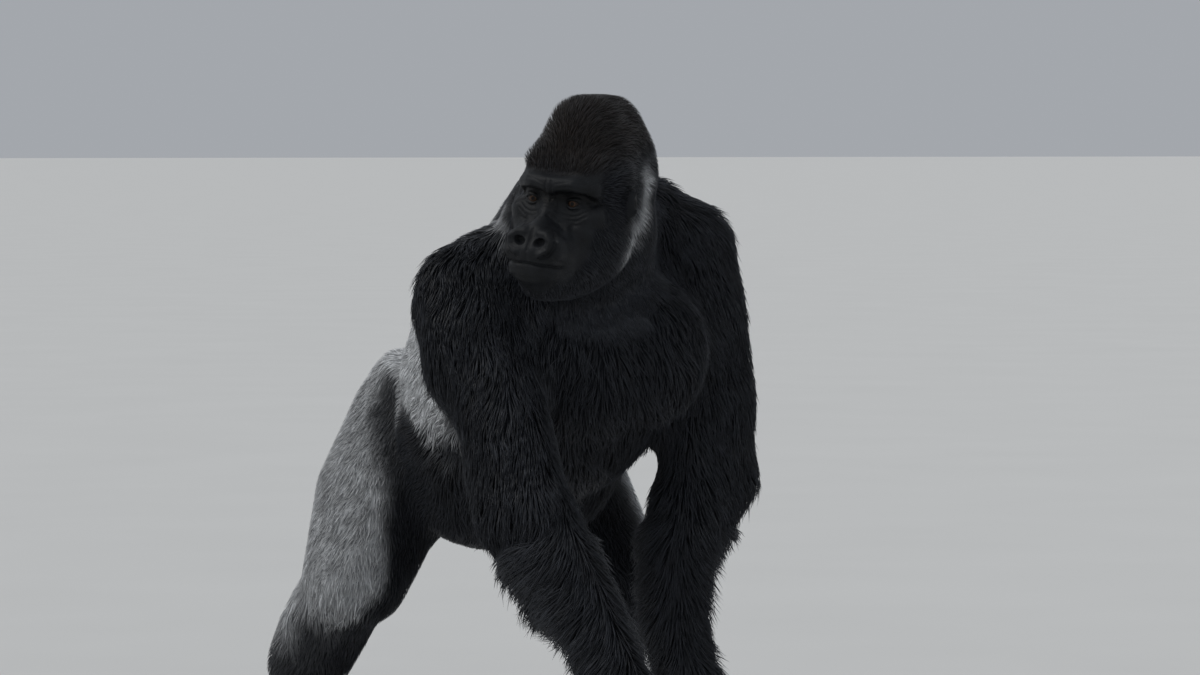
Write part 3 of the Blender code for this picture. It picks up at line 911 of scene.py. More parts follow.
@dataclass
class Face:
    """Lids, nostrils, lips and folds, shaped on the skin's finest part."""

    opening: tuple[float, float] = (0.0120, 0.0050)  # half the eye's width and height
    droop: float = 0.0010
    slant: float = 0.10
    lid: float = 0.0024
    lid_edge: float = 0.0012
    behind: float = 0.0016  # how far the skin lies under the eyeball in the opening
    nostril: tuple[float, float] = (0.0120, 0.0085)  # half its width and height
    nostril_slope: float = 0.32
    nostril_depth: float = 0.0105
    broader: float = 0.010
    forward: float = 0.006
    ear: tuple[float, float] = (0.0180, 0.0275)  # half its width and height
    ear_span: tuple[float, float] = (0.092, 0.132)  # where the ears are, counted outward
    ear_turn: Point = (-8.0, 0.0, 28.0)  # degrees
    rim: float = 0.0026
    hollow: float = 0.0070

    def front(self, own: Array, normals: Array) -> Array:
        """How far each corner belongs to the front of the face."""
        return ease(-normals[:, 1], -0.30, 0.15) * ease(-own[:, 1], -0.085, -0.050)

    def lids(self, own: Array) -> Array:
        """Corners laid round each eyeball, with an almond opening.

        Args:
            own: Corners in the head's frame.

        Returns:
            The moved corners.
        """
        moved = own.copy()
        for side in Side:
            centre = np.array(EYE_PLACES[side])
            spoke = moved - centre
            outward = unit(spoke)
            wide, high = self.opening
            tilt = self.slant * side.value
            along = np.abs((spoke[:, 0] + tilt * spoke[:, 2]) / wide)
            up = np.abs((spoke[:, 2] + self.droop - tilt * spoke[:, 0]) / high)
            sharp = np.maximum(1 - along**2.2, 0.0)
            open_part = ease(sharp - up, -0.18, 0.10) * (along < 1.05)
            ring = np.hypot(np.maximum(along - 0.2, 0) * wide, up * high)
            hold = ease(-outward[:, 1], 0.10, 0.45) * (1 - ease(ring, 0.0105, 0.0200))
            lift = self.lid + self.lid_edge * hump(up - 1.5, 0.7) * (along < 1.4)
            radius = EYE_RADIUS + lift + (-(lift + self.behind)) * open_part
            target = centre + outward * radius[:, None]
            moved += (target - moved) * hold[:, None]
        return moved

    def creased(self, own: Array, normals: Array) -> Array:
        """How far each corner sinks by the drawn folds, in metres."""
        flat = own[:, [0, 2]] / MILLIMETRE
        sunk = np.zeros(len(own))
        for crease in CREASES:
            for way in crease.ways():
                sunk += crease.depth * hump(path_distance(flat, way), crease.width)
        return sunk * self.front(own, normals) * MILLIMETRE

    def muzzle(self, own: Array) -> Array:
        """How far each corner of the nose and mouth moves out to make them broad, in metres."""
        level = ease(-own[:, 2], 0.030, 0.062) * (1 - ease(-own[:, 2], 0.110, 0.150))
        level *= ease(-own[:, 1], -0.040, 0.010)
        sideways = np.sign(own[:, 0]) * ease(np.abs(own[:, 0]), 0.012, 0.042)
        return np.stack([self.broader * sideways * level, -self.forward * level, 0 * level], 1)

    def nostrils(self, own: Array, normals: Array) -> Array:
        """How far each corner goes back into the nostrils, in metres."""
        across, height = (part * MILLIMETRE for part in NOSTRIL)
        wide, high = self.nostril
        sunk = np.zeros(len(own))
        for side in Side:
            x, z = own[:, 0] - side.value * across, own[:, 2] - height
            slope = side.value * self.nostril_slope
            near = np.hypot((x + slope * z) / wide, (z - slope * x) / high)
            sunk = np.maximum(sunk, 1 - ease(near, 0.45, 1.12))
        return sunk * self.front(own, normals) * self.nostril_depth

    def ears(self, own: Array, on_ear: Array) -> Array:
        """Corners of the ears with a rolled rim and a hollow."""
        moved = own.copy()
        nod, roll, turn = (math.radians(angle) for angle in self.ear_turn)
        for side in Side:
            middle = Vector((side.value * EAR_OUT, EAR_BACK, 0.0))
            place = Matrix.LocRotScale(middle, Euler((nod, roll, side.value * turn)), None)
            local = shifted(own, place.inverted())
            wide, high = self.ear
            outer = ease(local[:, 0] * side.value, -0.002, 0.003) * on_ear * (own[:, 0] * side.value > 0)
            rim = self.rim * hump(np.hypot(local[:, 1] / wide, local[:, 2] / high) - 0.86, 0.15)
            inner = np.hypot((local[:, 1] + 0.003) / wide, (local[:, 2] + 0.003) / high)
            hollow = self.hollow * (1 - ease(inner, 0.25, 0.66)) + 0.0012 * hump(inner - 0.60, 0.10)
            push = (rim - hollow) * outer * side.value
            moved += push[:, None] * np.array(place.to_3x3())[:, 0]
        return moved

    def shape(self, surface: Surface) -> None:
        """Shapes the face and ears of the skin, which is changed."""
        own = in_head(surface.points)
        out = np.abs(own[:, 0])
        on_ear = (out > self.ear_span[0]) & (out < self.ear_span[1]) & (ear_gap(own) < EAR_REACH)
        chosen = np.flatnonzero((np.linalg.norm(own, axis=1) < HEAD_REACH) | on_ear)
        own = own[chosen]
        normals = in_head(surface.normals()[chosen] + np.array(EYES))
        own = own + self.muzzle(own)
        own = own - normals * self.creased(own, normals)[:, None]
        own[:, 1] += self.nostrils(own, normals)
        own = self.ears(self.lids(own), on_ear[chosen])
        surface.points[chosen] = shifted(own, HEAD)


@dataclass(frozen=True)
class Digits:
    """The grooves between the fingers or toes of one side, in the hand's or foot's frame on the floor."""

    origin: Point
    turn: float  # degrees
    grooves: tuple[float, ...]  # how far across each one is, in metres
    start: float  # how far ahead of the origin they begin
    top: float  # how high they reach
    reach: float = 0.22
    width: float = 0.0034
    depth: float = 0.0046

    def at(self, points: Array) -> Array:
        """How much of a groove each corner has, from 0 to 1."""
        turn = math.radians(self.turn)
        x, y = points[:, 0] - self.origin[0], points[:, 1] - self.origin[1]
        across = math.cos(turn) * x + math.sin(turn) * y
        ahead = math.sin(turn) * x - math.cos(turn) * y
        near = np.max([hump(across - groove, self.width) for groove in self.grooves], axis=0)
        over = ease(points[:, 2], self.top - 0.02, self.top)
        near *= ease(ahead, self.start, self.start + 0.015) * (1 - over)
        return near * (np.hypot(x, y) < self.reach)


FINGER_GROOVES = (-0.0297, 0.0, 0.0292)
TOE_GROOVES = (0.0088, -0.0204, -0.0457)
HAND_TURNS = {Side.LEFT: -4.0, Side.RIGHT: 6.0}  # degrees
FOOT_TURNS = {Side.LEFT: 12.0, Side.RIGHT: -24.0}


def all_digits() -> list[Digits]:
    """The grooves of both hands and both feet."""
    made = []
    for side in Side:
        toes = tuple(-side.value * across for across in TOE_GROOVES)
        made.append(Digits(ARMS[side].end, HAND_TURNS[side], FINGER_GROOVES, -0.060, 0.095))
        made.append(Digits(LEGS[side].lower, FOOT_TURNS[side], toes, 0.098, 0.060))
    return made


# ------------------------------------------------------------------ the skin
@dataclass
class Skin:
    """One skin over all the flesh, without a seam, lying inside the solids by the coat's depth."""

    name: str = "skin"
    voxel: float = 0.0060
    even_rounds: int = 12
    fine_rounds: int = 4
    sink_steps: int = 3
    soft_depth: float = 0.006  # where sinking starts to smooth the skin fully
    face_reaches: tuple[float, float] = (0.145, 0.118)  # the face is made finer twice
    paw_height: float = 0.095  # hands and feet under this height are made finer
    mark_rounds: int = 10
    deepest: float = 0.026
    least: float = 0.7  # the coat's least depth, against the growth's
    top_room: float = 0.004  # what the coat leaves free under the top of the solids' box
    temple_proud: float = 0.005
    # how dark the painted shade is in the flank's fold, the eye sockets, in front of and in the ears and
    # in the grooves of the digits
    fold_painted_shade: float = 0.45
    socket_painted_shade: float = 0.80
    ear_painted_shade: float = 0.60
    groove_painted_shade: float = 0.5
    root_along: float = 0.35  # the along channel of the skin's markings; the skin's finish reads its undercoat's colour from noise instead
    surface: Surface = field(init=False)
    lie: LieOfCoat = field(init=False)
    gaps: Array = field(init=False)
    grooves: Array = field(init=False)
    object: bpy.types.Object = field(init=False)
    values: dict[str, Array] = field(init=False, default_factory=dict)

    def flesh(self) -> list[str]:
        """The nodes that the skin stands for."""
        return sorted(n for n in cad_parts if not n.endswith("eye") and "toenail" not in n)

    def gathered(self) -> bpy.types.Object:
        """All the solids in one remeshed object, eyes and nails among them so that nothing is hollow."""
        points, faces, _ = merged(sorted(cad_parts))
        holder = new_mesh("gathering", points, faces.tolist())
        remesh = holder.modifiers.new("remesh", "REMESH")
        remesh.mode = "VOXEL"
        remesh.voxel_size = self.voxel
        mesh = changed(holder)
        bpy.data.objects.remove(holder)
        return shown(self.name, mesh)

    def keep_largest(self, mesh: bpy.types.Mesh) -> None:
        """Removes the small shells that the cuts between the solids leave."""
        with opened(mesh) as whole:
            unseen, shells = set(whole.verts), []
            while unseen:
                stack = [unseen.pop()]
                shell = set(stack)
                while stack:
                    near = {v for edge in stack.pop().link_edges for v in edge.verts} - shell
                    shell |= near
                    stack.extend(near)
                unseen -= shell
                shells.append(shell)
            shells.sort(key=len)
            log.info("skin: %d shells, the largest of %d corners", len(shells), len(shells[-1]))
            bmesh.ops.delete(whole, geom=[v for shell in shells[:-1] for v in shell], context="VERTS")

    def named_parts(self, points: Array) -> tuple[Array, Array, Array]:
        """What each corner belongs to.

        Args:
            points: Corners of the skin.

        Returns:
            The part and the side of the nearest solid, and how far off its surface is.
        """
        corners, faces, owners = merged(self.flesh())
        _, _, found, gaps = nearest_on(tree_over(corners, faces), points)
        names = [owners[face] for face in found]
        parts = [name.removeprefix("left_").removeprefix("right_") for name in names]
        sides = [name.startswith("left") - name.startswith("right") for name in names]
        return np.array(parts), np.array(sides), gaps

    def refine(self, mesh: bpy.types.Mesh, chosen: Array) -> None:
        """Halves the edges between chosen corners."""
        with opened(mesh) as whole:
            edges = [e for e in whole.edges if all(chosen[v.index] for v in e.verts)]
            bmesh.ops.subdivide_edges(whole, edges=edges, cuts=1, use_grid_fill=True, smooth=0.0)
            bmesh.ops.triangulate(whole, faces=[f for f in whole.faces if len(f.verts) > 4])

    def evened(self, surface: Surface) -> None:
        """Takes the facets of the solids out of the skin, less on face, hands and feet."""
        own = in_head(surface.points)
        fine = (surface.points[:, 2] < 0.11) | ((own[:, 1] < 0.05) & (np.linalg.norm(own, axis=1) < 0.19))
        fine |= (np.abs(np.abs(own[:, 0]) - EAR_OUT) < 0.03) & (ear_gap(own) < 0.045)
        floor = surface.points[:, 2] < 0.0012
        surface.points = surface.averaged(surface.points, self.fine_rounds)
        share = 0.5 * (1 - surface.averaged(fine.astype(float), 4))
        surface.points = surface.averaged(surface.points, self.even_rounds, share)
        surface.points[floor, 2] = 0.0

    def sunk(self, surface: Surface, depth: Array) -> None:
        """Moves the skin inward by the coat's depth, in steps."""
        for _ in range(self.sink_steps):
            surface.points -= surface.normals() * (depth / self.sink_steps)[:, None]
            share = 0.5 * np.clip(depth / self.soft_depth, 0, 1)
            surface.points = surface.averaged(surface.points, 1, share)

    def face_corners(self, points: Array, reach: float) -> Array:
        """Corners of the face, as far as reach from its middle, and of the ears."""
        own = in_head(points)
        middle = (own + (0.0, 0.0, 0.050)) * (1.0, 0.9, 0.95)
        face = (np.linalg.norm(middle, axis=1) < reach) & (own[:, 1] < 0.060)
        return face | (np.hypot(np.abs(own[:, 0]) - EAR_OUT, ear_gap(own)) < EAR_REACH)

    def near_features(self, points: Array) -> Array:
        """Corners near eyes, nostrils and mouth, which get the finest faces."""
        own = in_head(points)
        flat = own[:, [0, 2]] / MILLIMETRE
        near = path_distance(flat, MOUTH) < 4.5
        for side in Side:
            eye = np.array(EYE_PLACES[side])[[0, 2]] / MILLIMETRE
            near |= np.hypot(*(flat - eye).T * [[1.0], [1.3]]) < 19
            near |= np.hypot(*(flat - (side.value * NOSTRIL[0], NOSTRIL[1])).T) < 15
        return near & (own[:, 1] < 0.02)

    def under_coat(self, mesh: bpy.types.Mesh) -> None:
        """Evens out the raw skin and sinks it under the coat."""
        surface = Surface.of(mesh)
        self.evened(surface)
        parts, sides, _ = self.named_parts(surface.points)
        lie = LieOfCoat(parts, sides, surface.points, surface.normals())
        depth = lie.growth("depth") * (1 - lie.bare()) + FOLD.depth * FOLD.at(lie)
        self.sunk(surface, surface.averaged(depth, 8))
        put_corners(mesh, surface.points)

    def build(self) -> bpy.types.Object:
        """Makes the skin's shape.

        Returns:
            The skin.
        """
        self.object = self.gathered()
        mesh = self.object.data
        self.keep_largest(mesh)
        self.under_coat(mesh)
        for reach in self.face_reaches:
            self.refine(mesh, self.face_corners(corners_of(mesh), reach))
        self.refine(mesh, self.near_features(corners_of(mesh)))
        self.refine(mesh, corners_of(mesh)[:, 2] < self.paw_height)
        self.surface = surface = Surface.of(mesh)
        fine = self.face_corners(surface.points, 0.13)
        surface.points = surface.averaged(surface.points, 3, 0.5 * fine)
        Face().shape(surface)
        above_floor(surface.points)
        parts, sides, self.gaps = self.named_parts(surface.points)
        normals = surface.normals()
        surface.points += sum(swell.at(surface.points, normals) for swell in SWELLS)
        self.grooves = np.zeros(len(surface.points))
        for digits in all_digits():
            found = digits.at(surface.points)
            surface.points -= normals * (digits.depth * found)[:, None]
            self.grooves = np.maximum(self.grooves, found)
        above_floor(surface.points)
        put_corners(mesh, surface.points)
        self.lie = LieOfCoat(parts, sides, surface.points, surface.normals())
        return self.object

    def mark(self) -> None:
        """Works out markings, flow and growth, evens them out and writes the attributes."""
        surface, lie, rounds = self.surface, self.lie, self.mark_rounds
        normals = surface.normals()
        shaggy = np.where(lie.on("shin"), ease(surface.points[:, 2], 0.090, 0.230), 1.0)
        self.values = {
            "bare": surface.averaged(lie.bare(), 3),
            "silver": surface.averaged(lie.silver(), rounds // 2),
            "brown": surface.averaged(lie.brown(), rounds),
            "flow": along_surface(surface.averaged(lie.flow(), rounds * 2), normals),
            "normal": normals,
            "length": surface.averaged(lie.growth("length") * (0.5 + 0.5 * shaggy), rounds),
            "depth": self.depths(normals),
            "stand": lie.growth("stand"),
            "loose": surface.averaged(lie.growth("loose") * shaggy, rounds),
            "shade": self.shade(),
        }
        silver, brown = self.values["silver"], self.values["brown"]
        # random tone over the skin, times the painted shade of shade()
        shade = (0.86 + 0.16 * Ripple(0.05, 3).at(surface.points)) * self.values["shade"]
        marks = np.stack([silver, brown, np.full(len(silver), self.root_along), shade], 1)
        store(self.object.data, MARKINGS, marks)
        store(self.object.data, BARE, self.values["bare"])

    def depths(self, normals: Array) -> Array:
        """How high the coat stands on each corner, less under the top of the solids' box.

        Args:
            normals: The skin's normals.

        Returns:
            The heights.
        """
        own = self.lie.own
        temple = ease(own[:, 2], 0.010, 0.040) * (1 - ease(own[:, 1], 0.070, 0.110)) * self.lie.on("head")
        temple = self.temple_proud * temple * ease(np.abs(own[:, 0]), 0.020, 0.050)
        proud = self.lie.growth("proud") + temple
        gaps = np.clip(self.gaps, self.least * self.lie.growth("depth"), self.deepest)
        found = self.surface.averaged(gaps + proud, self.mark_rounds)
        room = CAD_BOX[1][2] - self.top_room - self.surface.points[:, 2]
        room = room / np.maximum(normals[:, 2], 0.2)
        return np.minimum(found, np.maximum(room / max(RISE), 0.001))

    def shade(self) -> Array:
        """How much light each corner keeps, as painted shade: less in folds and grooves, under the brow
        and round and in the ear.
        """
        own, on_ear = self.lie.own, self.lie.on("ear")
        off = np.linalg.norm(own, axis=1)
        fold = self.surface.averaged(FOLD.at(self.lie), 6)
        # painted shade in the eye sockets under the brow
        socket = hump(path_distance(own[:, [0, 2]] / MILLIMETRE, SOCKETS), 13.0)
        socket *= (own[:, 1] < 0.03) * (off < 0.12)
        # painted shadow on the hair in front of each ear, and painted shade in the ear's hollow
        ear = hump(path_distance(own[:, 1:] / MILLIMETRE, ((100, 34), (94, -30))), 22.0)
        ear *= ease(np.abs(own[:, 0]), 0.060, 0.085) * (off < 0.19) * ~on_ear
        hollow = np.hypot((own[:, 1] - 0.098) / 0.012, (own[:, 2] + 0.002) / 0.019)
        ear = np.maximum(ear, (1 - ease(hollow, 0.45, 1.0)) * on_ear)
        kept = (1 - self.fold_painted_shade * fold) * (1 - self.socket_painted_shade * socket)
        return kept * (1 - self.ear_painted_shade * ear) * (1 - self.groove_painted_shade * self.grooves)

    def dress(self) -> None:
        """Gives the skin its finish and its place in the frame."""
        coat_over(self.object.data, SkinFinish().make())
        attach(self.object, BODY)
        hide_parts(*self.flesh())


# ------------------------------------------------------------------ eyes and nails
@dataclass
class Eye:
    """One eyeball with a bulging cornea, looking the way the animal looks."""

    side: Side
    rows: int = 40
    columns: int = 56
    gaze: Point = (0.10, -1.0, -0.02)  # in the head's frame
    bulge: float = 0.0011
    cornea: tuple[float, float] = (0.0035, 0.0085)  # where the bulge starts to fall and ends

    def globe(self) -> Array:
        """The corners of a ball of radius one: a pole, the rows and the other pole."""
        polar = np.linspace(0, math.pi, self.rows + 1)[1:-1]
        turns = np.arange(self.columns) * 2 * math.pi / self.columns
        axes = [
            np.outer(np.sin(polar), np.cos(turns)), np.outer(np.sin(polar), np.sin(turns)),
            np.outer(np.cos(polar), np.ones(self.columns)),
        ]
        return np.concatenate([[[0, 0, 1]], np.stack(axes, -1).reshape(-1, 3), [[0, 0, -1]]])

    def faces(self, last: int) -> list[list[int]]:
        """The ball's faces, given the number of its last corner."""
        wide = self.columns
        pairs = [(k, (k + 1) % wide) for k in range(wide)]
        made = [[0, 1 + k, 1 + after] for k, after in pairs]
        for low in range(1, last - wide, wide):
            made += [[low + k, low + wide + k, low + wide + after, low + after] for k, after in pairs]
        return made + [[last, last - wide + after, last - wide + k] for k, after in pairs]

    def build(self, finish: bpy.types.Material) -> bpy.types.Object:
        """Makes the eyeball.

        Args:
            finish: The eye's material.

        Returns:
            The eyeball, in place of the plain one.
        """
        turn = Vector(self.gaze).to_track_quat("Z", "Y").to_matrix().to_4x4()
        place = HEAD @ Matrix.Translation(EYE_PLACES[self.side]) @ turn
        local = self.globe()
        off = np.hypot(local[:, 0], local[:, 1]) * EYE_RADIUS
        swollen = EYE_RADIUS + self.bulge * (1 - ease(off, *self.cornea)) * (local[:, 2] > 0)
        points = shifted(local * swollen[:, None], place)
        made = new_mesh(f"{self.side.label}_eyeball", points, self.faces(len(local) - 1))
        store(made.data, OFF_GAZE, np.where(local[:, 2] > 0, off, EYE_RADIUS) / EYE_RADIUS)
        coat_over(made.data, finish)
        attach(made, BODY)
        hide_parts(f"{self.side.label}_eye")
        return made


@dataclass
class Nail:
    """One toenail: the plain one's shape, rounded and a little proud of the toe."""

    node: str
    levels: int = 2
    proud: float = 0.0007
    weld: float = 0.0002

    def build(self, finish: bpy.types.Material) -> bpy.types.Object:
        """Makes the nail.

        Args:
            finish: The nail's material.

        Returns:
            The nail, in place of the plain one.
        """
        points, faces, _ = merged([self.node])
        holder = new_mesh("nail_form", points, faces.tolist())
        with opened(holder.data) as whole:
            bmesh.ops.remove_doubles(whole, verts=whole.verts, dist=self.weld)
            for vert in whole.verts:
                vert.normal_update()
            for vert, normal in [(v, v.normal.copy()) for v in whole.verts]:
                vert.co += normal * self.proud
        rounded = holder.modifiers.new("rounded", "SUBSURF")
        rounded.levels = rounded.render_levels = self.levels
        mesh = changed(holder)
        bpy.data.objects.remove(holder)
        points = corners_of(mesh)
        above_floor(points)
        put_corners(mesh, points)
        coat_over(mesh, finish)
        made = shown(self.node + "_horn", mesh)
        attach(made, BODY)
        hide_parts(self.node)
        return made


# ------------------------------------------------------------------ the coat
def within_box(points: Array, margin: float = 0.010) -> Array:
    """Points eased back where they near the solids' box from inside or pass it.

    Args:
        points: One row for each point.
        margin: How far from the box's faces the easing starts; the floor has none.

    Returns:
        The points, all inside the box.
    """
    low, high = (np.array(corner) for corner in CAD_BOX)
    over = np.maximum(points - (high - margin), 0.0)
    under = np.maximum(low + margin - points, 0.0)
    under[:, 2] = 0.0
    eased = points - over + margin * (1 - np.exp(-over / margin))
    eased += under - margin * (1 - np.exp(-under / margin))
    return np.clip(eased, low, high)


class Chart:
    """An unwrap of one part of the skin, so that each tuft knows its place on it."""

    FACES = 3000  # how many faces the part is thinned to
    STEEPEST = math.radians(66)
    MARGIN = 0.004

    def __init__(self, points: Array, triangles: Array) -> None:
        """Unwraps the triangles.

        Args:
            points: The skin's corners.
            triangles: The triangles of the part.
        """
        used, fresh = np.unique(triangles, return_inverse=True)
        holder = new_mesh("chart", points[used], fresh.reshape(-1, 3).tolist())
        thinner = holder.modifiers.new("thinner", "DECIMATE")
        thinner.ratio = min(1.0, self.FACES / len(triangles))
        mesh = changed(holder)
        holder.modifiers.clear()
        holder.data = mesh
        bpy.context.view_layer.objects.active = holder
        holder.select_set(True)
        bpy.ops.object.mode_set(mode="EDIT")
        bpy.ops.mesh.select_all(action="SELECT")
        bpy.ops.uv.smart_project(angle_limit=self.STEEPEST, island_margin=self.MARGIN)
        bpy.ops.object.mode_set(mode="OBJECT")
        self.places = read_rows(mesh.uv_layers.active.uv, "vector", 2, np.float32).astype(float)
        self.points, self.triangles = corners_of(mesh), triangles_of(mesh)
        self.loops = read_rows(mesh.loop_triangles, "loops", 3)
        self.tree = tree_over(self.points, self.triangles)
        bpy.data.objects.remove(holder)

    def at(self, points: Array) -> Array:
        """The place on the unwrap nearest to each point."""
        near, _, faces, _ = nearest_on(self.tree, points)
        a, b, c = (self.points[self.triangles[faces, k]] for k in range(3))
        whole = np.linalg.norm(np.cross(b - a, c - a), axis=1).clip(1e-12)
        first = np.linalg.norm(np.cross(b - near, c - near), axis=1) / whole
        second = np.linalg.norm(np.cross(a - near, c - near), axis=1) / whole
        parts = np.stack([first, second, np.clip(1 - first - second, 0, 1)], 1)
        return (self.places[self.loops[faces]] * parts[:, :, None]).sum(1)


RISE = (0.60, 1.0, 1.22, 1.34)  # how high a tuft stands from its first ring on, against the coat's depth
PATCH = 0.003  # how wide a tuft is on the unwrap
# How far tufts turn off the lie of the coat, in radians: over wide swirls, in clumps and one by one.
SWIRL, CLUMP, STRAY = 0.20, 0.24, 0.13
LENGTHS = (0.72, 1.22)  # the shortest and longest tuft against the growth's length
WIDTHS = (0.7, 1.3)
DROOP = (0, 0, -0.25)  # what weight adds to the lie of the coat
# The three sides of a tuft: two corners of a ring each, and where they are across the unwrap.
TUFT_SIDES = ((0, 1, -0.5, 0.0), (1, 2, 0.0, 0.5), (2, 0, 0.5, -0.5))


@dataclass
class CoatPiece:
    """The tufts of one part of the body, as one joined mesh of closed, tapering locks."""

    name: str
    parts: tuple[str, ...]
    side: int | None
    tufts: int
    rings: int
    width: float
    slot: str
    seed: int
    on_bare: bool = False  # sparse short hairs on the bare face

    def roots(self, skin: Skin) -> tuple[Array, Array, Array]:
        """Chooses where tufts grow.

        Args:
            skin: The skin that they grow on.

        Returns:
            The triangles of this part, and the triangle and the corner shares of each root.
        """
        draw = np.random.default_rng(self.seed)
        chosen = skin.lie.on(*self.parts)
        if self.side is not None:
            chosen &= skin.lie.sides == self.side
        triangles = skin.surface.triangles
        own = np.flatnonzero(chosen[triangles].all(1))
        area = np.linalg.norm(sides_across(skin.surface.points, triangles[own]), axis=1) / 2
        bare = skin.values["bare"][triangles[own]].mean(1)
        stand = skin.values["stand"][triangles[own]].mean(1)
        weight = area * stand * (bare if self.on_bare else np.clip(1.0 - 1.02 * bare, 0.0, 1))
        ladder = np.cumsum(weight)
        steps = (np.arange(self.tufts) + draw.uniform(0, 1, self.tufts)) / self.tufts
        found = own[np.searchsorted(ladder, steps * ladder[-1]).clip(0, len(own) - 1)]
        return own, found, draw.dirichlet((1, 1, 1), self.tufts)

    def grown(self, skin: Skin, found: Array, shares: Array, tree: BVHTree) -> dict[str, Array]:
        """Grows each tuft over the skin.

        Args:
            skin: The skin.
            found: The triangle of each root.
            shares: The corner shares of each root.
            tree: A search tree over the skin.

        Returns:
            Places and directions, one row for each tuft and one column for each ring, and the
            skin's values at each root.
        """
        draw = np.random.default_rng(self.seed + 1000)
        triangles = skin.surface.triangles

        def read(values: Array) -> Array:
            """Values of the skin's corners, given at the roots."""
            table = values[triangles[found]]
            return (table * shares.reshape(*shares.shape, *[1] * (table.ndim - 2))).sum(1)

        at_root = {key: read(values) for key, values in skin.values.items()}
        place = read(skin.surface.points)
        count = len(place)
        normal = unit(at_root["normal"])
        clump = Ripple(0.045, self.seed + 5).at(place)
        swirl = Ripple(0.11, self.seed + 6).at(place)
        turn = SWIRL * swirl + CLUMP * clump + draw.normal(0, STRAY, count)
        bare = np.clip(at_root["bare"], 0, 1)
        length = at_root["length"] * draw.uniform(*LENGTHS, count) * (1 + 0.12 * clump)
        length *= 1 - 0.65 * bare
        length *= 0.45 + 0.55 * ease(ear_gap(in_head(place)), 0.030, 0.055)
        depth = at_root["depth"] * (1 - 0.8 * bare)
        loose = at_root["loose"] * draw.uniform(0.0, 1.0, count) ** 1.5
        free = np.clip(loose / 0.020, 0.0, 0.9)[:, None]
        flow = skin.values["flow"][triangles].mean(1)
        heading = flow[found]
        sideways = np.cross(normal, heading)
        heading = unit(heading * np.cos(turn)[:, None] + sideways * np.sin(turn)[:, None])
        places, normals, headings = [place - normal * 0.001], [normal], [heading]
        spot = place
        for ring in range(self.rings):
            target = depth * RISE[ring * len(RISE) // self.rings] + 0.0005
            reach = spot + heading * (length / self.rings)[:, None]
            near, outward, faces, _ = nearest_on(tree, reach)
            height = ((reach - near) * outward).sum(1)
            height = np.clip(height, target * 0.75, target + loose * (ring + 1) / self.rings)
            spot = near + outward * height[:, None]
            ahead = unit(spot - places[-1])
            places.append(spot)
            normals.append(outward)
            headings.append(ahead)
            drift = flow[faces] + DROOP
            sideways = np.cross(outward, drift)
            heading = unit(0.45 * ahead + 0.55 * (drift + sideways * (turn * 0.8)[:, None]))
            laid = along_surface(heading, outward)
            heading = unit(laid + (0.3 * heading + 0.7 * ahead - laid) * free)
        rows = {"place": places, "normal": normals, "heading": headings}
        made = {key: np.stack(values, 1) for key, values in rows.items()}
        return at_root | made | {"root": place, "clump": clump, "length": length}

    def pattern(self) -> tuple[Array, Array]:
        """The triangles of one tuft, and their places on the unwrap round its root."""
        faces, spots = [[0, 1, 2]], [[(-0.5, 0), (0, -0.2), (0.5, 0)]]
        share = 1 / self.rings
        for ring in range(self.rings - 1):
            low, high = ring * 3, ring * 3 + 3
            v0, v1 = ring * share, (ring + 1) * share
            for a, b, ua, ub in TUFT_SIDES:
                faces += [[low + a, high + a, high + b], [low + a, high + b, low + b]]
                spots += [[(ua, v0), (ua, v1), (ub, v1)], [(ua, v0), (ub, v1), (ub, v0)]]
        low = (self.rings - 1) * 3
        for a, b, ua, ub in TUFT_SIDES:
            faces.append([low + a, self.rings * 3, low + b])
            spots.append([(ua, 1 - share), (0.1, 1.0), (ub, 1 - share)])
        return np.array(faces), np.array(spots)

    def mesh_arrays(self, grown: dict[str, Array], chart: Chart) -> tuple[Array, ...]:
        """Turns grown tufts into a mesh's arrays.

        Args:
            grown: What grown() gave.
            chart: The unwrap of the skin under this piece.

        Returns:
            The corners, the triangles, the places on the unwrap and the markings.
        """
        draw = np.random.default_rng(self.seed + 2000)
        count, rings = len(grown["root"]), self.rings
        along = np.arange(rings) / rings
        long = grown["length"] / grown["length"].max()
        width = self.width * draw.uniform(*WIDTHS, count) * (0.45 + 0.55 * long)
        span = (width[:, None] * np.sqrt(1 - along**1.6)[None, :])[..., None]
        place, normal, heading = (grown[key][:, :rings] for key in ("place", "normal", "heading"))
        across = unit(np.cross(heading, normal))
        trio = [place - across * span / 2, place + normal * span * 0.42, place + across * span / 2]
        rows = np.stack(trio, 2).reshape(count, rings * 3, 3)
        corners = np.concatenate([rows, grown["place"][:, rings:]], 1)
        per = rings * 3 + 1
        faces, spots = self.pattern()
        triangles = (faces[None] + (np.arange(count) * per)[:, None, None]).reshape(-1, 3)
        unwrap = chart.at(grown["root"])[:, None, None, :] + spots[None] * PATCH
        # random tone per tuft and clump, times the painted shade read at the root
        shade = (1.0 + 0.16 * grown["clump"] + draw.normal(0, 0.23, count)) * grown["shade"]
        mottled = grown["silver"] * np.clip(1 + draw.normal(0, 0.16, count), 0.5, 1.35)
        marks = np.empty((count, per, 4))
        marks[..., Mark.SILVER.value] = np.clip(mottled, 0, 1)[:, None]
        marks[..., Mark.BROWN.value] = grown["brown"][:, None]
        marks[..., Mark.ALONG.value] = np.concatenate([np.repeat(along, 3), [1.0]])[None]
        marks[..., Mark.SHADE.value] = np.clip(shade, 0.30, 1.6)[:, None]
        unwrap = np.clip(unwrap, 0.0, 1.0).reshape(-1, 2)
        return corners.reshape(-1, 3), triangles, unwrap, marks.reshape(-1, 4)

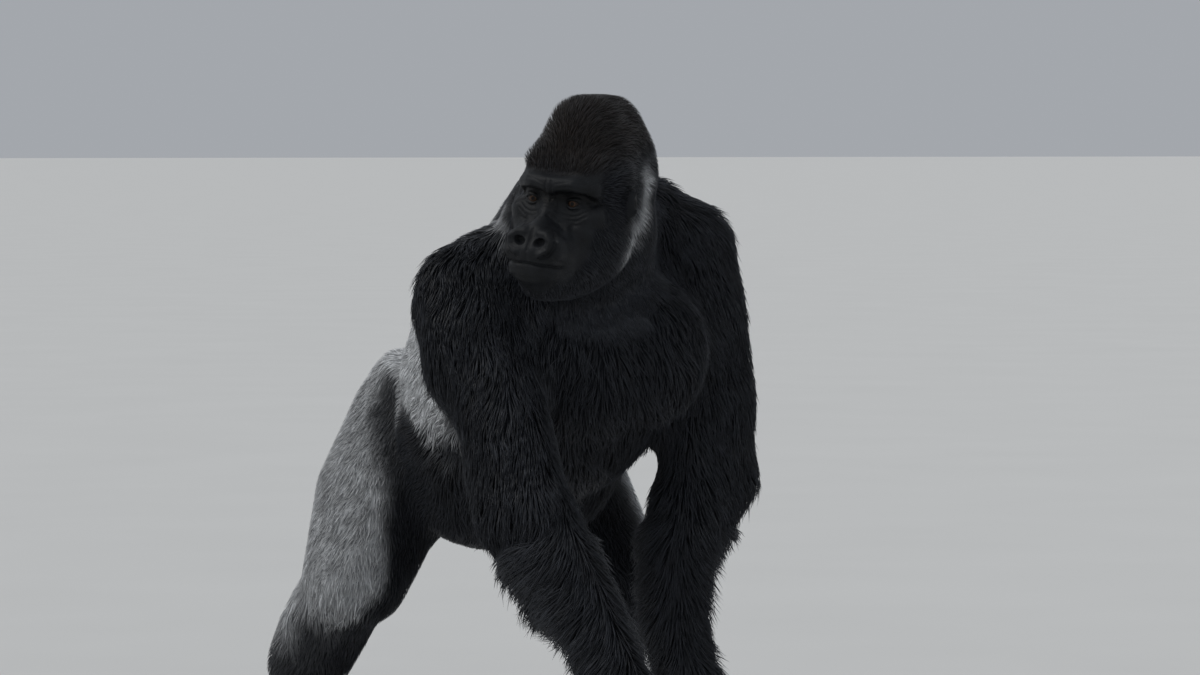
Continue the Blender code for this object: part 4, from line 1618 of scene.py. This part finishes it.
    def build(self, skin: Skin, tree: BVHTree, finish: bpy.types.Material) -> bpy.types.Object:
        """Makes the piece.

        Args:
            skin: The skin that the tufts grow on.
            tree: A search tree over the skin.
            finish: The hair's material.

        Returns:
            The coat piece.
        """
        own, found, shares = self.roots(skin)
        chart = Chart(skin.surface.points, skin.surface.triangles[own])
        grown = self.grown(skin, found, shares, tree)
        corners, triangles, unwrap, marks = self.mesh_arrays(grown, chart)
        count = len(triangles)
        mesh = bpy.data.meshes.new(self.name)
        mesh.vertices.add(len(corners))
        mesh.vertices.foreach_set("co", within_box(corners).astype(np.float32).ravel())
        mesh.loops.add(count * 3)
        mesh.loops.foreach_set("vertex_index", triangles.astype(np.int32).ravel())
        mesh.polygons.add(count)
        mesh.polygons.foreach_set("loop_start", np.arange(0, count * 3, 3, dtype=np.int32))
        layer = mesh.uv_layers.new(name="OFBake", do_init=False)
        layer.uv.foreach_set("vector", unwrap.astype(np.float32).ravel())
        store(mesh, MARKINGS, marks)
        mesh.update(calc_edges=True)
        mesh.validate()
        coat_over(mesh, finish)
        made = shown(self.name, mesh)
        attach(made, BODY)
        return made


def coat_pieces() -> list[CoatPiece]:
    """The pieces of the coat, each under two hundred thousand triangles."""
    pieces = [
        CoatPiece("head_coat", ("head", "ear"), None, 18000, 2, 0.0017, "brown_coat", 21),
        CoatPiece("face_coat", ("head",), None, 6000, 1, 0.0006, "bare_skin", 27, on_bare=True),
        CoatPiece("neck_coat", ("neck",), None, 6500, 3, 0.0032, "black_coat", 22),
        CoatPiece("chest_coat", ("chest",), None, 10500, 3, 0.0030, "black_coat", 23),
        CoatPiece("saddle_coat", ("abdomen",), None, 16000, 2, 0.0025, "silver_coat", 24),
    ]
    for side, seed in ((Side.LEFT, 30), (Side.RIGHT, 50)):
        for stem, parts, tufts, rings, width, slot in (
            ("upper_arm", ("upper_arm",), 8000, 3, 0.0032, "black_coat"),
            ("forearm", ("forearm", "hand"), 9500, 3, 0.0031, "black_coat"),
            ("leg", ("thigh", "shin", "foot"), 14500, 2, 0.0024, "silver_coat"),
        ):
            name = f"{side.label}_{stem}_coat"
            pieces.append(CoatPiece(name, parts, side.value, tufts, rings, width, slot, seed))
            seed += 1
    return pieces


# ------------------------------------------------------------------ the studio
@dataclass(frozen=True)
class Lamp:
    """A soft, far light: the way to it, its spread in degrees, its strength and its colour."""

    name: str
    source: Point
    spread: float
    power: float
    tint: Colour

    def build(self) -> None:
        """Sets the light up."""
        data = bpy.data.lights.new(self.name, "SUN")
        data.angle = math.radians(self.spread)
        data.energy = self.power
        data.color = self.tint
        shown(self.name, data).rotation_euler = Vector(self.source).to_track_quat("Z", "Y").to_euler()


@dataclass
class Studio:
    """A pale floor, soft light and the camera, level with the animal's brow."""

    camera_place: Point = (-3.317, -8.487, 1.170)
    camera_turn: Point = (87.694, 0.0, -22.0)  # degrees
    lens: float = 147.15
    sensor: float = 36.0
    floor_size: float = 600.0
    floor_cells: int = 8
    surround: Colour = (0.80, 0.84, 0.90)
    surround_strength: float = 0.46
    lamps: tuple[Lamp, ...] = (
        Lamp("key", (-0.75, 0.10, 0.85), 24.0, 1.35, (1.0, 0.985, 0.96)),
        Lamp("front", (0.25, -0.85, 0.55), 50.0, 0.26, (0.92, 0.96, 1.0)),
        Lamp("back", (0.70, 0.75, 0.60), 40.0, 0.36, (0.96, 0.98, 1.0)),
    )

    def floor(self) -> None:
        """A wide plain floor."""
        half, cells = self.floor_size / 2, self.floor_cells
        steps = np.linspace(-half, half, cells + 1)
        points = np.array([(x, y, 0.0) for y in steps for x in steps])
        starts = [row * (cells + 1) + column for row in range(cells) for column in range(cells)]
        faces = [[k, k + 1, k + cells + 2, k + cells + 1] for k in starts]
        made = new_mesh("studio_floor", points, faces)
        made.data.materials.append(FloorFinish().make())

    def build(self) -> None:
        """Sets the studio up."""
        scene = bpy.context.scene
        data = bpy.data.cameras.new("camera")
        data.lens, data.sensor_width = self.lens, self.sensor
        scene.camera = shown("camera", data)
        scene.camera.location = self.camera_place
        scene.camera.rotation_euler = [math.radians(angle) for angle in self.camera_turn]
        self.floor()
        scene.world = bpy.data.worlds.new("studio")
        scene.world.use_nodes = True
        surround = scene.world.node_tree.nodes["Background"]
        surround.inputs["Color"].default_value = (*self.surround, 1.0)
        surround.inputs["Strength"].default_value = self.surround_strength
        for lamp in self.lamps:
            lamp.build()
        scene.view_settings.view_transform = "Standard"


def main() -> None:
    """Builds the studio, then the animal from the skin outward."""
    logging.basicConfig(level=logging.INFO, format="%(message)s")
    Studio().build()
    skin = Skin()
    skin.build()
    skin.mark()
    skin.dress()
    log.info("skin: %d corners", len(skin.surface.points))
    eye_finish = EyeFinish().make()
    for side in Side:
        log.info("made %s", Eye(side).build(eye_finish).name)
    nail_finish = NailFinish().make()
    for node in sorted(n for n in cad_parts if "toenail" in n):
        log.info("made %s", Nail(node).build(nail_finish).name)
    hair = HairFinish().make()
    tree = tree_over(skin.surface.points, skin.surface.triangles)
    for piece in coat_pieces():
        made = piece.build(skin, tree, hair)
        log.info("made %s: %d triangles", made.name, len(made.data.polygons))


if __name__ == "__main__":
    main()
